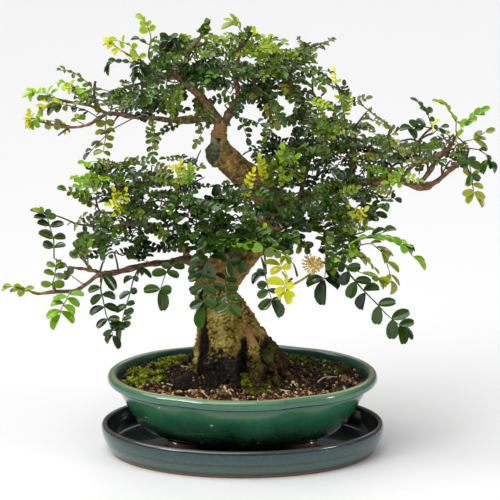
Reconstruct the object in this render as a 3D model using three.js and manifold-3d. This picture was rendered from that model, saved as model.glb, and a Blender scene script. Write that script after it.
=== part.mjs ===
// A japanese pepper bonsai in its glazed pot, which stands on its own saucer.
// Millimetres, +Z up, and the side that is shown to a viewer faces -Y.
// The origin is the centre of the saucer's standing face.
import * as THREE from 'three';
import { mergeVertices } from 'three/addons/utils/BufferGeometryUtils.js';
import Module from 'manifold-3d';

const wasm = await Module();
wasm.setup();

// Driving dimensions.
const restingGap = 0.3; // between pieces that rest on each other
const ovalSides = 28; // sides of every ring of the pot, the saucer and the soil
const saucerHalfLength = 115;
const saucerHalfDepth = 79;
const potHalfLength = 109.7;
const potHalfDepth = 82;
const lobeDepth = 0.03; // how far the four notches of the pot pull in, as a share
const lobeNotch = 1.1; // angle of each notch from the long axis, in radians
const lobeSpread = 0.17; // half width of a notch, in radians
const soilEdgeHeight = 59.5;
const soilMound = 7; // how far the soil rises at the trunk
const drainHoleRadius = 7;
const drainHoleSpacing = 28; // each hole from the middle of the pot
const meshSize = 22;
const meshThickness = 0.8;
const stemRadius = 1.1; // a leafy stem where it leaves the wood
const stemTipRadius = 0.7;
const shortShare = 0.6; // length of a stem's second leaf as a share of its first
const ribHalfWidth = 0.55;
const ribDepth = 0.9;
const leafletThickness = 0.9; // at its middle
const leastShare = 0.05; // a leaf turns only where that saves this much crossing, in mm3
const pairPitch = 19; // length of rib for each pair of leaflets, wider than on the tree
const shortLeaf = 20; // a compound leaf under this length has its end leaflet only

// Rings of a pot or saucer, each as its inset from the widest outline and its height.
const saucerProfile = [
  [8.5, 0], [5, 5], [1.2, 13], [0, 20], [1, 23.2], [2.8, 24], [4.8, 22.8], [6.2, 16],
  [9.5, 8], [18, 5.7],
];
const potOuterProfile = [
  [46, 15], [36, 16.8], [27.5, 23], [15, 42], [5.2, 56.8],
  [1, 58.2], [0, 61.5], [1.6, 65], [4.5, 66], [7.8, 64.6],
];
const potInnerProfile = [[9.2, 60.5], [11, 56], [25, 32], [42, 21.5]];
const potFoot = { x: 47, y: 24, radius: 8, stretch: 1.7, bottom: 6, top: 16.2 };

// The trunk's centre line with its radius, from inside the soil to the upper fork.
const trunkRoute = [
  [-9, 0, 41, 25], [-9, 0, 60, 29], [-9, 0, 72, 29], [-11, 0, 87, 27], [-12, 0, 101, 25.5],
  [-17, 0, 117, 20], [-22, 0, 130, 16], [-20, 1, 142, 17], [-9, 4, 154, 16], [4, 8, 167, 14],
  [17, 10, 181, 13.5], [24, 10, 196, 13], [19, 8, 210, 12], [8, 4, 223, 11.5], [-5, 0, 234, 11],
  [-14, -2, 244, 9.8], [-18, -3, 254, 7.6], [-18, -3, 262, 6.2], [-16, -2, 270, 5.2],
];
const roots = [
  { route: [[-2, -12, 106], [6, -22, 93], [8, -29, 79], [10, -36, 66], [14, -42, 54]], radii: [6, 4] },
  { route: [[0, 0, 94], [14, -4, 82], [28, -8, 69], [44, -12, 56]], radii: [10, 4] },
  { route: [[-22, -6, 82], [-36, -15, 70], [-50, -22, 64], [-64, -28, 57]], radii: [10, 4.5] },
  { route: [[-2, 10, 88], [12, 24, 73], [26, 38, 58]], radii: [10, 4.5] },
  { route: [[-22, 10, 86], [-36, 25, 71], [-48, 38, 58]], radii: [10, 4.5] },
  { route: [[-18, -12, 86], [-22, -25, 71], [-27, -38, 58]], radii: [9, 4.5] },
];

// The main branches and bare twigs, with the radius of each at its start and its end.
const branches = {
  leftLeader: {
    route: [
      [-17, -2, 268], [-25, -4, 283], [-34, -8, 294], [-44, -12, 304], [-53, -16, 313],
    ],
    radii: [5.2, 3],
  },
  upTwig: {
    route: [
      [-48, -14, 310], [-40, -15, 328], [-32, -15, 339],
    ],
    radii: [2, 1.2],
  },
  leftLeaderLow: {
    route: [
      [-45, -13, 306], [-59, -18, 310], [-70, -20, 307], [-79, -22, 304],
    ],
    radii: [2, 1.2],
  },
  rightLeader: {
    route: [
      [-14, 0, 269], [-9, 2, 278], [-2, 6, 288], [8, 10, 294], [19, 16, 298],
    ],
    radii: [5, 3],
  },
  topTwig: {
    route: [
      [-2, 4, 288], [-5, -10, 306], [-3, -16, 322], [-2, -20, 332],
    ],
    radii: [2.4, 1.3],
  },
  rightLeaderUp: {
    route: [
      [8, 10, 294], [11, 0, 312], [15, -5, 325], [19, -8, 332],
    ],
    radii: [2.2, 1.3],
  },
  leftArm: {
    route: [
      [-24, -4, 275], [-31, -6, 274], [-56, -10, 274], [-65, -10, 275], [-78, -9, 277],
      [-88, -8, 276], [-97, -8, 278], [-106, -8, 279],
    ],
    radii: [3.6, 2.2],
  },
  leftArmOut: {
    route: [
      [-106, -8, 279], [-119, -6, 285], [-135, -4, 287], [-147, -4, 290],
    ],
    radii: [2, 1.2],
  },
  leftArmLow: {
    route: [
      [-106, -8, 279], [-112, -10, 275], [-121, -12, 270], [-137, -12, 269], [-156, -10, 273],
      [-164, -8, 275],
    ],
    radii: [2, 1],
  },
  deadStub: {
    route: [
      [-112, -7, 282], [-115, -9, 293], [-114, -10, 305],
    ],
    radii: [1.8, 1.4],
  },
  rightArm: {
    route: [
      [22, 8, 195], [40, 10, 202], [55, 6, 210], [73, 0, 217], [91, -4, 223], [109, -8, 226],
      [123, -10, 226], [140, -12, 221], [152, -14, 225], [163, -15, 235], [170, -16, 242],
    ],
    radii: [7, 1.8],
  },
  rightArmUp: {
    route: [
      [138, -12, 222], [146, -12, 233], [153, -12, 244], [161, -12, 251], [165, -12, 258],
    ],
    radii: [2.4, 1.4],
  },
  rightArmMid: {
    route: [
      [123, -10, 226], [132, -12, 236], [139, -14, 245],
    ],
    radii: [2.2, 1.4],
  },
  rightPost: {
    route: [
      [85, -4, 222], [86, -4, 237], [86, -5, 249],
    ],
    radii: [2.4, 1.8],
  },
  rightInner: {
    route: [
      [46, 9, 205], [48, 2, 220], [51, -4, 235],
    ],
    radii: [3, 2],
  },
  lowLeft: {
    route: [
      [-23, -4, 153], [-43, -14, 163], [-59, -18, 161], [-78, -22, 160], [-100, -26, 155],
      [-112, -28, 154], [-123, -28, 146], [-132, -28, 140], [-148, -28, 140], [-161, -26, 138],
      [-169, -24, 140],
    ],
    radii: [5, 1.1],
  },
  midLeft: {
    route: [
      [-43, -14, 162], [-49, -18, 177], [-61, -22, 185], [-74, -26, 193], [-79, -28, 203],
      [-96, -26, 203], [-111, -24, 203],
    ],
    radii: [3, 1.4],
  },
  midLeftLow: {
    route: [
      [-72, -26, 192], [-85, -26, 194], [-104, -26, 192], [-118, -26, 193],
    ],
    radii: [1.8, 1.2],
  },
  lowStub: {
    route: [
      [-112, -28, 156], [-123, -30, 159], [-137, -32, 161],
    ],
    radii: [1.6, 1.2],
  },
  lowCutStub: {
    route: [
      [-118, -29, 157], [-124, -30, 166], [-130, -30, 176],
    ],
    radii: [1.6, 1.3],
  },
  rightLow: {
    route: [
      [63, 4, 210], [70, -8, 206], [76, -14, 199], [79, -18, 189], [79, -22, 174],
    ],
    radii: [2.6, 1.6],
  },
  flowerTwig: {
    route: [
      [79, -22, 176], [65, -30, 165], [52, -36, 157], [38, -40, 154],
    ],
    radii: [1.6, 1],
  },
};
const flowerCluster = {
  stalkStart: [53, -36, 157], middle: [55, -41, 163], reach: 6, buds: 9, budRadius: 2.2,
};
// Each cushion of moss as its middle and its radius.
const mossCushions = {
  left: [[-82, 12, 11], [-76, 27, 11], [-64, 39, 11], [-52, 50, 9], [-76, -1, 10]],
  right: [[32, 51, 10], [45, 45, 11], [58, 36, 11], [70, 25, 11]],
};
const leafReach = 27; // length of a compound leaf that has no place of its own

// The leafy sprays. A stem has its route and, where it bears leaves by the rule below, their number.
// A leaf with its own place has its stem, the share of the stem, its tip, its bow and how far it
// faces the front.
const sprays = [
  {
    name: 'spray_top_left',
    tone: 'light',
    stems: [
      { route: [[-53, -16, 313], [-65, -18, 319], [-72, -20, 325], [-70, -24, 337]] },
      { route: [[-65, -18, 319], [-74, -22, 319], [-83, -28, 323]] },
      { route: [[-59, -17, 316], [-57, -12, 325], [-53, -8, 334]], leaves: 2 },
    ],
    placed: [
      [0, 1, [-81, -28, 358], 3, 0.8],
      [0, 0.85, [-62, -14, 348], 3, 0.6],
      [1, 1, [-99, -40, 338], 3, 0.6],
      [1, 0.8, [-103, -30, 315], 4, 0.5],
    ],
  },
  {
    name: 'young_shoot_top_left',
    tone: 'young',
    stems: [
      { route: [[-76, -23, 322], [-91, -16, 328], [-102, -18, 337]] },
    ],
    placed: [
      [0, 0.7, [-98, -8, 323], 1, 0.5],
      [0, 0.8, [-94, -12, 339], 1, 0.6],
      [0, 1, [-107, -22, 334], 1, 0.7],
      [0, 1, [-103, -18, 344], 1, 0.7],
    ],
  },
  {
    name: 'spray_left_leader_low',
    tone: 'dark',
    stems: [
      { route: [[-77, -22, 305], [-86, -26, 304], [-93, -28, 302]] },
    ],
    placed: [
      [0, 0.3, [-84, -44, 291], 2, 0.7],
      [0, 1, [-108, -32, 295], 3, 0.4],
      [0, 0.6, [-101, -18, 310], 3, 0.4],
    ],
  },
  {
    name: 'spray_top_middle',
    tone: 'mid',
    stems: [
      { route: [[-33, -15, 338], [-30, -16, 346]] },
    ],
    placed: [
      [0, 1, [-25, -16, 358], 2, 0.7],
      [0, 0.6, [-9, -28, 336], 3, 0.4],
      [0, 0.7, [-45, -8, 351], 2, 0.6],
    ],
  },
  {
    name: 'spray_left_leader',
    tone: 'dark',
    stems: [
      { route: [[-41, -11, 303], [-44, -6, 308], [-47, 6, 311], [-53, 34, 310]], leaves: 2 },
      { route: [[-44, -6, 308], [-45, -24, 313], [-48, -40, 305]], leaves: 2 },
    ],
  },
  {
    name: 'spray_summit',
    tone: 'light',
    stems: [
      { route: [[-2, -20, 331], [-2, -22, 340]] },
    ],
    placed: [
      [0, 1, [-9, -24, 358], 2, 0.8],
      [0, 0.6, [-17, -44, 349], 2, 0.5],
      [0, 0.8, [8, -12, 351], 2, 0.6],
    ],
  },
  {
    name: 'spray_summit_right',
    tone: 'mid',
    stems: [
      { route: [[19, -8, 330], [23, -10, 340]] },
    ],
    placed: [
      [0, 1, [11, -14, 351], 2, 0.7],
      [0, 1, [35, -12, 350], 2, 0.6],
      [0, 0.6, [35, -42, 337], 3, 0.4],
    ],
  },
  {
    name: 'spray_top_right',
    tone: 'mid',
    stems: [
      { route: [[19, 16, 298], [31, 20, 304], [43, 24, 310], [49, 20, 320], [53, 16, 328]] },
      { route: [[43, 24, 310], [50, 16, 308], [56, 10, 305]] },
      { route: [[31, 20, 304], [39, 6, 298], [44, 0, 295]] },
      { route: [[38, 22, 307], [40, 44, 308], [40, 60, 309]], leaves: 2 },
    ],
    placed: [
      [0, 1, [69, 10, 328], 4, 0.4],
      [0, 0.9, [60, 20, 341], 3, 0.5],
      [0, 0.8, [62, -14, 322], 3, 0.3],
      [1, 1, [66, 2, 292], 3, 0.6],
      [1, 0.7, [78, 24, 303], 4, 0.3],
      [2, 1, [48, -4, 270], 3, 0.7],
      [2, 0.8, [63, 8, 282], 3, 0.5],
    ],
  },
  {
    name: 'spray_under_fork',
    tone: 'dark',
    stems: [
      { route: [[-10, 2, 278], [-5, -14, 279], [-1, -18, 276]] },
    ],
    placed: [
      [0, 1, [6, -22, 256], 3, 0.8],
      [0, 0.8, [20, -36, 273], 3, 0.6],
    ],
  },
  {
    name: 'spray_right_leader_hanging',
    tone: 'olive',
    stems: [
      { route: [[16, 13, 297], [18, -4, 295], [20, -12, 293]] },
    ],
    placed: [
      [0, 1, [28, -16, 267], 3, 0.8],
      [0, 0.7, [6, -30, 293], 3, 0.5],
    ],
  },
  {
    name: 'spray_crown',
    tone: 'dark',
    stems: [
      { route: [[4, 8, 292], [4, 8, 298], [5, 34, 300], [3, 54, 303]], leaves: 2 },
      { route: [[4, 8, 298], [-6, -26, 310], [-17, -38, 315]], leaves: 2 },
      { route: [[-6, -26, 310], [-9, -34, 320]] },
      { route: [[4, 8, 298], [12, -8, 305], [21, -28, 318]], leaves: 2 },
    ],
    placed: [
      [2, 1, [-23, -44, 334], 3, 0.4],
    ],
  },
  {
    name: 'spray_left_tip',
    tone: 'fresh',
    stems: [
      { route: [[-146, -4, 290], [-154, -6, 292], [-159, -6, 293]] },
    ],
    placed: [
      [0, 1, [-170, -8, 296], 1, 0.5],
      [0, 0.7, [-160, -14, 306], 2, 0.5],
    ],
  },
  {
    name: 'young_shoot_left',
    tone: 'young',
    stems: [
      { route: [[-163, -8, 275], [-168, -8, 274]] },
    ],
    placed: [
      [0, 1, [-173, -8, 280], 1, 0.7],
      [0, 1, [-171, -10, 268], 1, 0.7],
      [0, 0.6, [-161, -16, 266], 1, 0.6],
    ],
  },
  {
    name: 'spray_left_arm_outer',
    tone: 'mid',
    stems: [
      { route: [[-119, -6, 284], [-121, -4, 290], [-123, -8, 295]] },
      { route: [[-121, -4, 290], [-129, 18, 289], [-136, 32, 289]], leaves: 2 },
    ],
    placed: [
      [0, 1, [-143, -14, 316], 5, 0.5],
      [0, 0.7, [-135, -30, 303], 3, 0.4],
    ],
  },
  {
    name: 'spray_left_arm_low',
    tone: 'dark',
    stems: [
      { route: [[-136, -12, 268], [-140, -18, 266], [-143, -22, 264]] },
    ],
    placed: [
      [0, 1, [-151, -26, 255], 2, 0.6],
      [0, 0.6, [-130, -30, 257], 2, 0.6],
    ],
  },
  {
    name: 'spray_hanging_left_arm',
    tone: 'dark',
    stems: [
      { route: [[-97, -8, 277], [-100, -18, 274]] },
    ],
    placed: [
      [0, 1, [-109, -20, 247], 4, 0.9],
      [0, 0.7, [-120, -42, 250], 6, 0.4],
    ],
  },
  {
    name: 'spray_hanging_left_inner',
    tone: 'dark',
    stems: [
      { route: [[-70, -10, 274], [-70, -20, 270]] },
    ],
    placed: [
      [0, 1, [-69, -26, 242], 3, 0.9],
      [0, 0.7, [-53, -30, 253], 3, 0.7],
    ],
  },
  {
    name: 'spray_left_arm_crown',
    tone: 'mid',
    stems: [
      { route: [[-94, -8, 279], [-95, 2, 283], [-102, 40, 279]], leaves: 2 },
      { route: [[-95, 2, 283], [-97, -10, 292], [-101, -16, 297]], leaves: 2 },
    ],
  },
  {
    name: 'spray_left_arm_inner',
    tone: 'mid',
    stems: [
      { route: [[-70, -10, 277], [-72, 2, 280], [-70, 42, 278]], leaves: 2 },
      { route: [[-72, 2, 280], [-75, -12, 290], [-79, -18, 294]], leaves: 2 },
    ],
  },
  {
    name: 'spray_mid_left_tip',
    tone: 'mid',
    stems: [
      { route: [[-111, -24, 203], [-113, -28, 209]] },
    ],
    placed: [
      [0, 1, [-144, -34, 225], 4, 0.5],
      [0, 0.6, [-140, -14, 206], 3, 0.4],
      [0, 0.5, [-109, -36, 173], 3, 0.9],
    ],
  },
  {
    name: 'spray_mid_left_high',
    tone: 'mid',
    stems: [
      { route: [[-79, -28, 201], [-87, -30, 215], [-97, -30, 226], [-106, -31, 235]] },
      { route: [[-92, -30, 220], [-81, -34, 228], [-71, -38, 235]], leaves: 2 },
    ],
    placed: [
      [0, 1, [-135, -34, 244], 4, 0.5],
      [0, 0.8, [-129, -50, 232], 4, 0.4],
      [0, 0.9, [-107, -26, 255], 2, 0.6],
    ],
  },
  {
    name: 'young_shoot_mid_left',
    tone: 'young',
    stems: [
      { route: [[-85, -27, 203], [-89, -46, 211], [-94, -54, 218]] },
    ],
    placed: [
      [0, 0.8, [-88, -56, 231], 1, 0.7],
      [0, 1, [-106, -60, 217], 1, 0.7],
      [0, 1, [-99, -58, 232], 1, 0.7],
      [0, 0.7, [-100, -58, 208], 1, 0.7],
    ],
  },
  {
    name: 'spray_mid_left_low',
    tone: 'light',
    stems: [
      { route: [[-116, -26, 193], [-127, -26, 194], [-132, -28, 196]] },
    ],
    placed: [
      [0, 1, [-146, -28, 209], 2, 0.6],
      [0, 1, [-146, -36, 195], 2, 0.6],
    ],
  },
  {
    name: 'spray_mid_left_front',
    tone: 'dark',
    stems: [
      { route: [[-58, -21, 183], [-58, -36, 194], [-64, -56, 209]], leaves: 2 },
      { route: [[-58, -36, 194], [-46, -48, 204], [-38, -54, 214]], leaves: 2 },
    ],
  },
  {
    name: 'young_shoot_mid',
    tone: 'young',
    stems: [
      { route: [[-55, -20, 182], [-51, -34, 211], [-47, -40, 239]] },
    ],
    placed: [
      [0, 1, [-58, -46, 245], 1, 0.6],
      [0, 1, [-35, -40, 242], 1, 0.6],
      [0, 0.85, [-59, -44, 230], 1, 0.6],
      [0, 1, [-47, -42, 250], 1, 0.6],
    ],
  },
  {
    name: 'spray_mid_left_back',
    tone: 'dark',
    stems: [
      { route: [[-74, -26, 194], [-78, 4, 196], [-83, 30, 198]], leaves: 2 },
      { route: [[-78, 4, 196], [-95, 16, 199], [-108, 22, 203]], leaves: 2 },
    ],
  },
  {
    name: 'spray_low_left_tip',
    tone: 'fresh',
    stems: [
      { route: [[-169, -24, 140], [-174, -24, 140]] },
    ],
    placed: [
      [0, 1, [-191, -22, 142], 1, 0.4],
    ],
  },
  {
    name: 'spray_low_left_upright',
    tone: 'fresh',
    stems: [
      { route: [[-147, -28, 140], [-148, -34, 148]] },
    ],
    placed: [
      [0, 1, [-156, -36, 210], 6, 0.9],
      [0, 0.8, [-141, -46, 169], 2, 0.7],
      [0, 0.5, [-146, -38, 112], 3, 0.8],
    ],
  },
  {
    name: 'spray_low_left_hanging',
    tone: 'dark',
    stems: [
      { route: [[-111, -28, 154], [-111, -36, 150]] },
    ],
    placed: [
      [0, 1, [-97, -46, 97], 5, 0.9],
    ],
  },
  {
    name: 'spray_low_left_hanging_inner',
    tone: 'dark',
    stems: [
      { route: [[-80, -22, 159], [-82, -34, 155]] },
    ],
    placed: [
      [0, 1, [-97, -44, 107], 4, 0.9],
    ],
  },
  {
    name: 'spray_low_left_near_trunk',
    tone: 'dark',
    stems: [
      { route: [[-57, -18, 161], [-59, -32, 157]] },
    ],
    placed: [
      [0, 1, [-64, -40, 128], 3, 0.9],
      [0, 0.6, [-45, -42, 145], 2, 0.8],
    ],
  },
  {
    name: 'spray_trunk_front_left',
    tone: 'dark',
    stems: [
      { route: [[-31, -8, 157], [-31, -30, 163], [-31, -42, 161]] },
    ],
    placed: [
      [0, 1, [-33, -52, 119], 3, 0.9],
      [0, 0.6, [-46, -50, 184], 2, 0.7],
    ],
  },
  {
    name: 'spray_trunk_front',
    tone: 'dark',
    stems: [
      { route: [[-4, 2, 162], [-8, -26, 169], [-11, -40, 159]] },
      { route: [[-8, -26, 169], [-16, -42, 187], [-23, -50, 197]], leaves: 2 },
    ],
    placed: [
      [0, 1, [-6, -46, 124], 3, 0.9],
      [0, 0.7, [11, -48, 145], 3, 0.8],
    ],
  },
  {
    name: 'spray_trunk_front_right',
    tone: 'dark',
    stems: [
      { route: [[16, 4, 176], [18, -24, 165], [19, -34, 156]] },
    ],
    placed: [
      [0, 1, [31, -42, 122], 3, 0.9],
    ],
  },
  {
    name: 'bright_arc_leaf',
    tone: 'bright',
    stems: [
      { route: [[43, -39, 156], [41, -48, 165], [39, -53, 170]] },
    ],
    placed: [
      [0, 1, [-19, -64, 186], 9, 0.5],
    ],
  },
  {
    name: 'young_cluster_low',
    tone: 'young',
    stems: [
      { route: [[39, -40, 154], [34, -44, 151]] },
    ],
    placed: [
      [0, 1, [21, -48, 140], 1, 0.8],
      [0, 1, [38, -48, 135], 1, 0.8],
      [0, 0.8, [17, -50, 155], 1, 0.8],
      [0, 0.6, [26, -44, 168], 1, 0.8],
    ],
  },
  {
    name: 'spray_flower_twig',
    tone: 'dark',
    stems: [
      { route: [[67, -29, 165], [66, -36, 160]] },
    ],
    placed: [
      [0, 1, [63, -40, 133], 1, 0.9],
      [0, 0.8, [62, -46, 196], 2, 0.7],
    ],
  },
  {
    name: 'spray_right_arm_inner',
    tone: 'dark',
    stems: [
      { route: [[39, 10, 201], [35, -20, 209], [29, -42, 225]], leaves: 2 },
      { route: [[35, -20, 209], [36, -36, 198], [32, -46, 190]], leaves: 2 },
    ],
  },
  {
    name: 'spray_right_inner',
    tone: 'mid',
    stems: [
      { route: [[51, -4, 235], [55, -8, 245], [59, -12, 257], [63, -16, 272]], leaves: 2 },
      { route: [[55, -8, 245], [46, -30, 253], [38, -46, 259]], leaves: 2 },
      { route: [[53, -6, 241], [59, 26, 241], [65, 54, 239]], leaves: 2 },
    ],
  },
  {
    name: 'young_shoot_right_post',
    tone: 'young',
    stems: [
      { route: [[85, -5, 244], [81, -9, 252], [81, -9, 268], [78, -8, 286], [74, -8, 301]] },
    ],
    placed: [
      [0, 1, [71, -8, 316], 1, 0.6],
      [0, 0.6, [85, -12, 297], 1, 0.6],
      [0, 0.8, [65, -14, 297], 1, 0.6],
    ],
  },
  {
    name: 'spray_right_post',
    tone: 'mid',
    stems: [
      { route: [[86, -5, 249], [85, -6, 259], [91, -8, 272], [97, -8, 280]], leaves: 2 },
      { route: [[85, -6, 256], [80, -30, 264], [75, -46, 271]], leaves: 2 },
      { route: [[85, -6, 259], [89, 26, 256], [94, 48, 255]], leaves: 2 },
    ],
  },
  {
    name: 'spray_right_arm_middle',
    tone: 'dark',
    stems: [
      { route: [[112, -8, 225], [113, -6, 232], [108, -34, 246], [106, -48, 255]], leaves: 2 },
      { route: [[113, -6, 232], [123, 22, 233], [131, 44, 233]], leaves: 2 },
    ],
  },
  {
    name: 'spray_right_mid_tip',
    tone: 'mid',
    stems: [
      { route: [[139, -14, 245], [139, -14, 252], [137, -16, 258]] },
    ],
    placed: [
      [0, 1, [131, -18, 293], 3, 0.4],
      [0, 0.7, [118, -36, 277], 3, 0.4],
      [0, 0.8, [152, -24, 275], 3, 0.4],
    ],
  },
  {
    name: 'spray_right_up_tip',
    tone: 'bright',
    stems: [
      { route: [[165, -12, 257], [168, -14, 265]] },
    ],
    placed: [
      [0, 1, [191, -14, 286], 4, 0.6],
      [0, 1, [149, -10, 292], 3, 0.3],
      [0, 0.6, [194, -34, 271], 4, 0.4],
    ],
  },
  {
    name: 'spray_right_arm_tip',
    tone: 'mid',
    stems: [
      { route: [[170, -16, 241], [175, -20, 246]] },
    ],
    placed: [
      [0, 1, [198, -26, 236], 5, 0.5],
      [0, 0.8, [185, -32, 209], 3, 0.8],
      [0, 0.6, [194, -2, 250], 4, 0.3],
    ],
  },
  {
    name: 'spray_right_arm_outer_back',
    tone: 'mid',
    stems: [
      { route: [[154, -14, 225], [161, 12, 230], [167, 30, 233]], leaves: 2 },
    ],
  },
  {
    name: 'spray_right_arm_hanging',
    tone: 'dark',
    stems: [
      { route: [[99, -6, 223], [98, -20, 220], [112, -28, 216]] },
      { route: [[98, -20, 220], [88, -38, 220], [80, -46, 218]], leaves: 2 },
    ],
    placed: [
      [0, 1, [123, -34, 185], 3, 0.8],
      [0, 1, [141, -22, 200], 3, 0.5],
    ],
  },
  {
    name: 'long_dark_leaf',
    tone: 'dark',
    stems: [
      { route: [[80, -23, 173], [80, -32, 167], [80, -36, 161]] },
    ],
    placed: [
      [0, 1, [131, -48, 105], 8, 0.8],
      [0, 0.6, [59, -52, 143], 2, 0.8],
    ],
  },
  {
    name: 'spray_low_right',
    tone: 'bright',
    stems: [
      { route: [[79, -19, 183], [86, -32, 186], [92, -42, 187]] },
      { route: [[82, -24, 184], [91, 4, 179], [98, 20, 177]], leaves: 2 },
    ],
    placed: [
      [0, 1, [142, -48, 166], 9, 0.5],
    ],
  },
  {
    name: 'spray_low_right_pale',
    tone: 'olive',
    stems: [
      { route: [[80, -22, 175], [86, -28, 175]] },
    ],
    placed: [
      [0, 1, [119, -24, 138], 9, 0.5],
    ],
  },
  {
    name: 'young_cluster_right',
    tone: 'young',
    stems: [
      { route: [[78, -17, 194], [85, -40, 198], [89, -50, 204]] },
    ],
    placed: [
      [0, 1, [80, -52, 217], 1, 0.7],
      [0, 1, [98, -54, 215], 1, 0.7],
      [0, 0.8, [101, -56, 199], 1, 0.7],
    ],
  },
];

// A repeatable draw between 0 and 1, so that the foliage grows alike every time.
function makeDraw(seed) {
  let state = seed;
  return () => {
    state = (state * 1103515245 + 12345) % 2147483648;
    return state / 2147483648;
  };
}

// Turns a geometry into a solid, with its shared corners merged.
function toSolid(geometry) {
  geometry.deleteAttribute('normal');
  geometry.deleteAttribute('uv');
  const merged = mergeVertices(geometry, 1e-4);
  return new wasm.Manifold(new wasm.Mesh({
    numProp: 3,
    vertProperties: new Float32Array(merged.attributes.position.array),
    triVerts: new Uint32Array(merged.index.array),
  }));
}

// A solid straight from corners and triangles.
function facetSolid(corners, triangles) {
  return new wasm.Manifold(new wasm.Mesh({
    numProp: 3,
    vertProperties: new Float32Array(corners.flatMap((corner) => corner.toArray())),
    triVerts: new Uint32Array(triangles.flat()),
  }));
}

// A closed skin over a stack of rings, which all have the same number of corners.
function skinRings(rings) {
  const sides = rings[0].length;
  const corners = rings.flat();
  const triangles = [];
  const corner = (ring, side) => ring * sides + (side % sides);
  for (let ring = 0; ring + 1 < rings.length; ring += 1) {
    for (let side = 0; side < sides; side += 1) {
      triangles.push([corner(ring, side), corner(ring, side + 1), corner(ring + 1, side + 1)]);
      triangles.push([corner(ring, side), corner(ring + 1, side + 1), corner(ring + 1, side)]);
    }
  }
  const middle = (ring) => ring.reduce((sum, point) => sum.add(point), new THREE.Vector3())
    .divideScalar(sides);
  corners.push(middle(rings[0]), middle(rings[rings.length - 1]));
  const last = rings.length - 1;
  for (let side = 0; side < sides; side += 1) {
    triangles.push([corner(0, side + 1), corner(0, side), corners.length - 2]);
    triangles.push([corner(last, side), corner(last, side + 1), corners.length - 1]);
  }
  return facetSolid(corners, triangles);
}

// One ring of the saucer: a plain oval.
function saucerRing(inset, height) {
  return Array.from({ length: ovalSides }, (_, side) => {
    const angle = (2 * Math.PI * side) / ovalSides;
    return new THREE.Vector3(
      (saucerHalfLength - inset) * Math.cos(angle),
      (saucerHalfDepth - inset) * Math.sin(angle),
      height,
    );
  });
}

// One ring of the pot: an oval with four shallow notches between its lobes.
function potRing(inset, height) {
  return Array.from({ length: ovalSides }, (_, side) => {
    const angle = (2 * Math.PI * side) / ovalSides;
    const fromLongAxis = Math.abs(Math.atan2(Math.abs(Math.sin(angle)), Math.abs(Math.cos(angle))));
    const notch = lobeDepth * Math.exp(-(((fromLongAxis - lobeNotch) / lobeSpread) ** 2));
    return new THREE.Vector3(
      (potHalfLength - inset) * Math.cos(angle) * (1 - notch),
      (potHalfDepth - inset) * Math.sin(angle) * (1 - notch),
      height,
    );
  });
}

function makeSaucer() {
  return skinRings(saucerProfile.map(([inset, height]) => saucerRing(inset, height)));
}

function makePot() {
  const profile = [...potOuterProfile, ...potInnerProfile];
  let pot = skinRings(profile.map(([inset, height]) => potRing(inset, height)));
  for (const sideX of [-1, 1]) {
    for (const sideY of [-1, 1]) {
      const foot = new THREE.CylinderGeometry(
        potFoot.radius,
        potFoot.radius * 0.85,
        potFoot.top - potFoot.bottom,
        10,
      );
      foot.rotateX(Math.PI / 2);
      foot.scale(potFoot.stretch, 1, 1);
      foot.translate(sideX * potFoot.x, sideY * potFoot.y, (potFoot.top + potFoot.bottom) / 2);
      pot = pot.add(toSolid(foot));
    }
    const hole = new THREE.CylinderGeometry(drainHoleRadius, drainHoleRadius, 20, 12);
    hole.rotateX(Math.PI / 2);
    hole.translate(sideX * drainHoleSpacing, 0, 18);
    pot = pot.subtract(toSolid(hole));
  }
  return pot;
}

// A square of plastic mesh over a drainage hole, with four openings.
function makeDrainMesh(sideX) {
  const floor = potInnerProfile[potInnerProfile.length - 1][1];
  const middle = [sideX * drainHoleSpacing, 0, floor + restingGap + meshThickness / 2];
  let plate = toSolid(new THREE.BoxGeometry(meshSize, meshSize, meshThickness));
  const opening = new THREE.BoxGeometry(meshSize * 0.3, meshSize * 0.3, meshThickness * 3);
  const openingSolid = toSolid(opening);
  for (const across of [-1, 1]) {
    for (const along of [-1, 1]) {
      const shift = [across * meshSize * 0.22, along * meshSize * 0.22, 0];
      plate = plate.subtract(openingSolid.translate(shift));
    }
  }
  return plate.translate(middle);
}

// The soil's surface: level at the pot's lip, and risen round the trunk, with small lumps.
function soilHeight(x, y) {
  const fromTrunk = ((x + 12) / 52) ** 2 + (y / 38) ** 2;
  const lumps = 0.7 * Math.sin(x * 0.17 + 1) * Math.cos(y * 0.21) + 0.5 * Math.sin(x * 0.31 - y * 0.27);
  return soilEdgeHeight + soilMound * Math.exp(-fromTrunk) + lumps;
}

function makeSoil() {
  const sideGap = restingGap + 0.1;
  const [floorInset, floorHeight] = potInnerProfile[potInnerProfile.length - 1];
  const bottom = floorHeight + meshThickness + 2 * restingGap;
  const rings = [potRing(floorInset + sideGap + 1, bottom)];
  for (const [inset, height] of [...potInnerProfile].reverse().slice(1, 3)) {
    rings.push(potRing(inset + sideGap, height + 0.5));
  }
  const edgeInset = 10.1;
  rings.push(potRing(edgeInset, soilEdgeHeight));
  for (const share of [0.75, 0.42]) {
    rings.push(potRing(edgeInset, 0).map(({ x, y }) => (
      new THREE.Vector3(x * share, y * share, soilHeight(x * share, y * share))
    )));
  }
  return skinRings(rings);
}

// A point on the smooth curve through a route, at a share of its length in points.
function routePoint(route, share) {
  const reach = share * (route.length - 1);
  const start = Math.min(Math.floor(reach), route.length - 2);
  const t = reach - start;
  const at = (index) => route[Math.max(0, Math.min(route.length - 1, index))];
  const [a, b, c, d] = [at(start - 1), at(start), at(start + 1), at(start + 2)];
  return new THREE.Vector3(...[0, 1, 2].map((axis) => 0.5 * (
    2 * b[axis] + (c[axis] - a[axis]) * t
    + (2 * a[axis] - 5 * b[axis] + 4 * c[axis] - d[axis]) * t * t
    + (3 * b[axis] - a[axis] - 3 * c[axis] + d[axis]) * t * t * t
  )));
}

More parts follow.
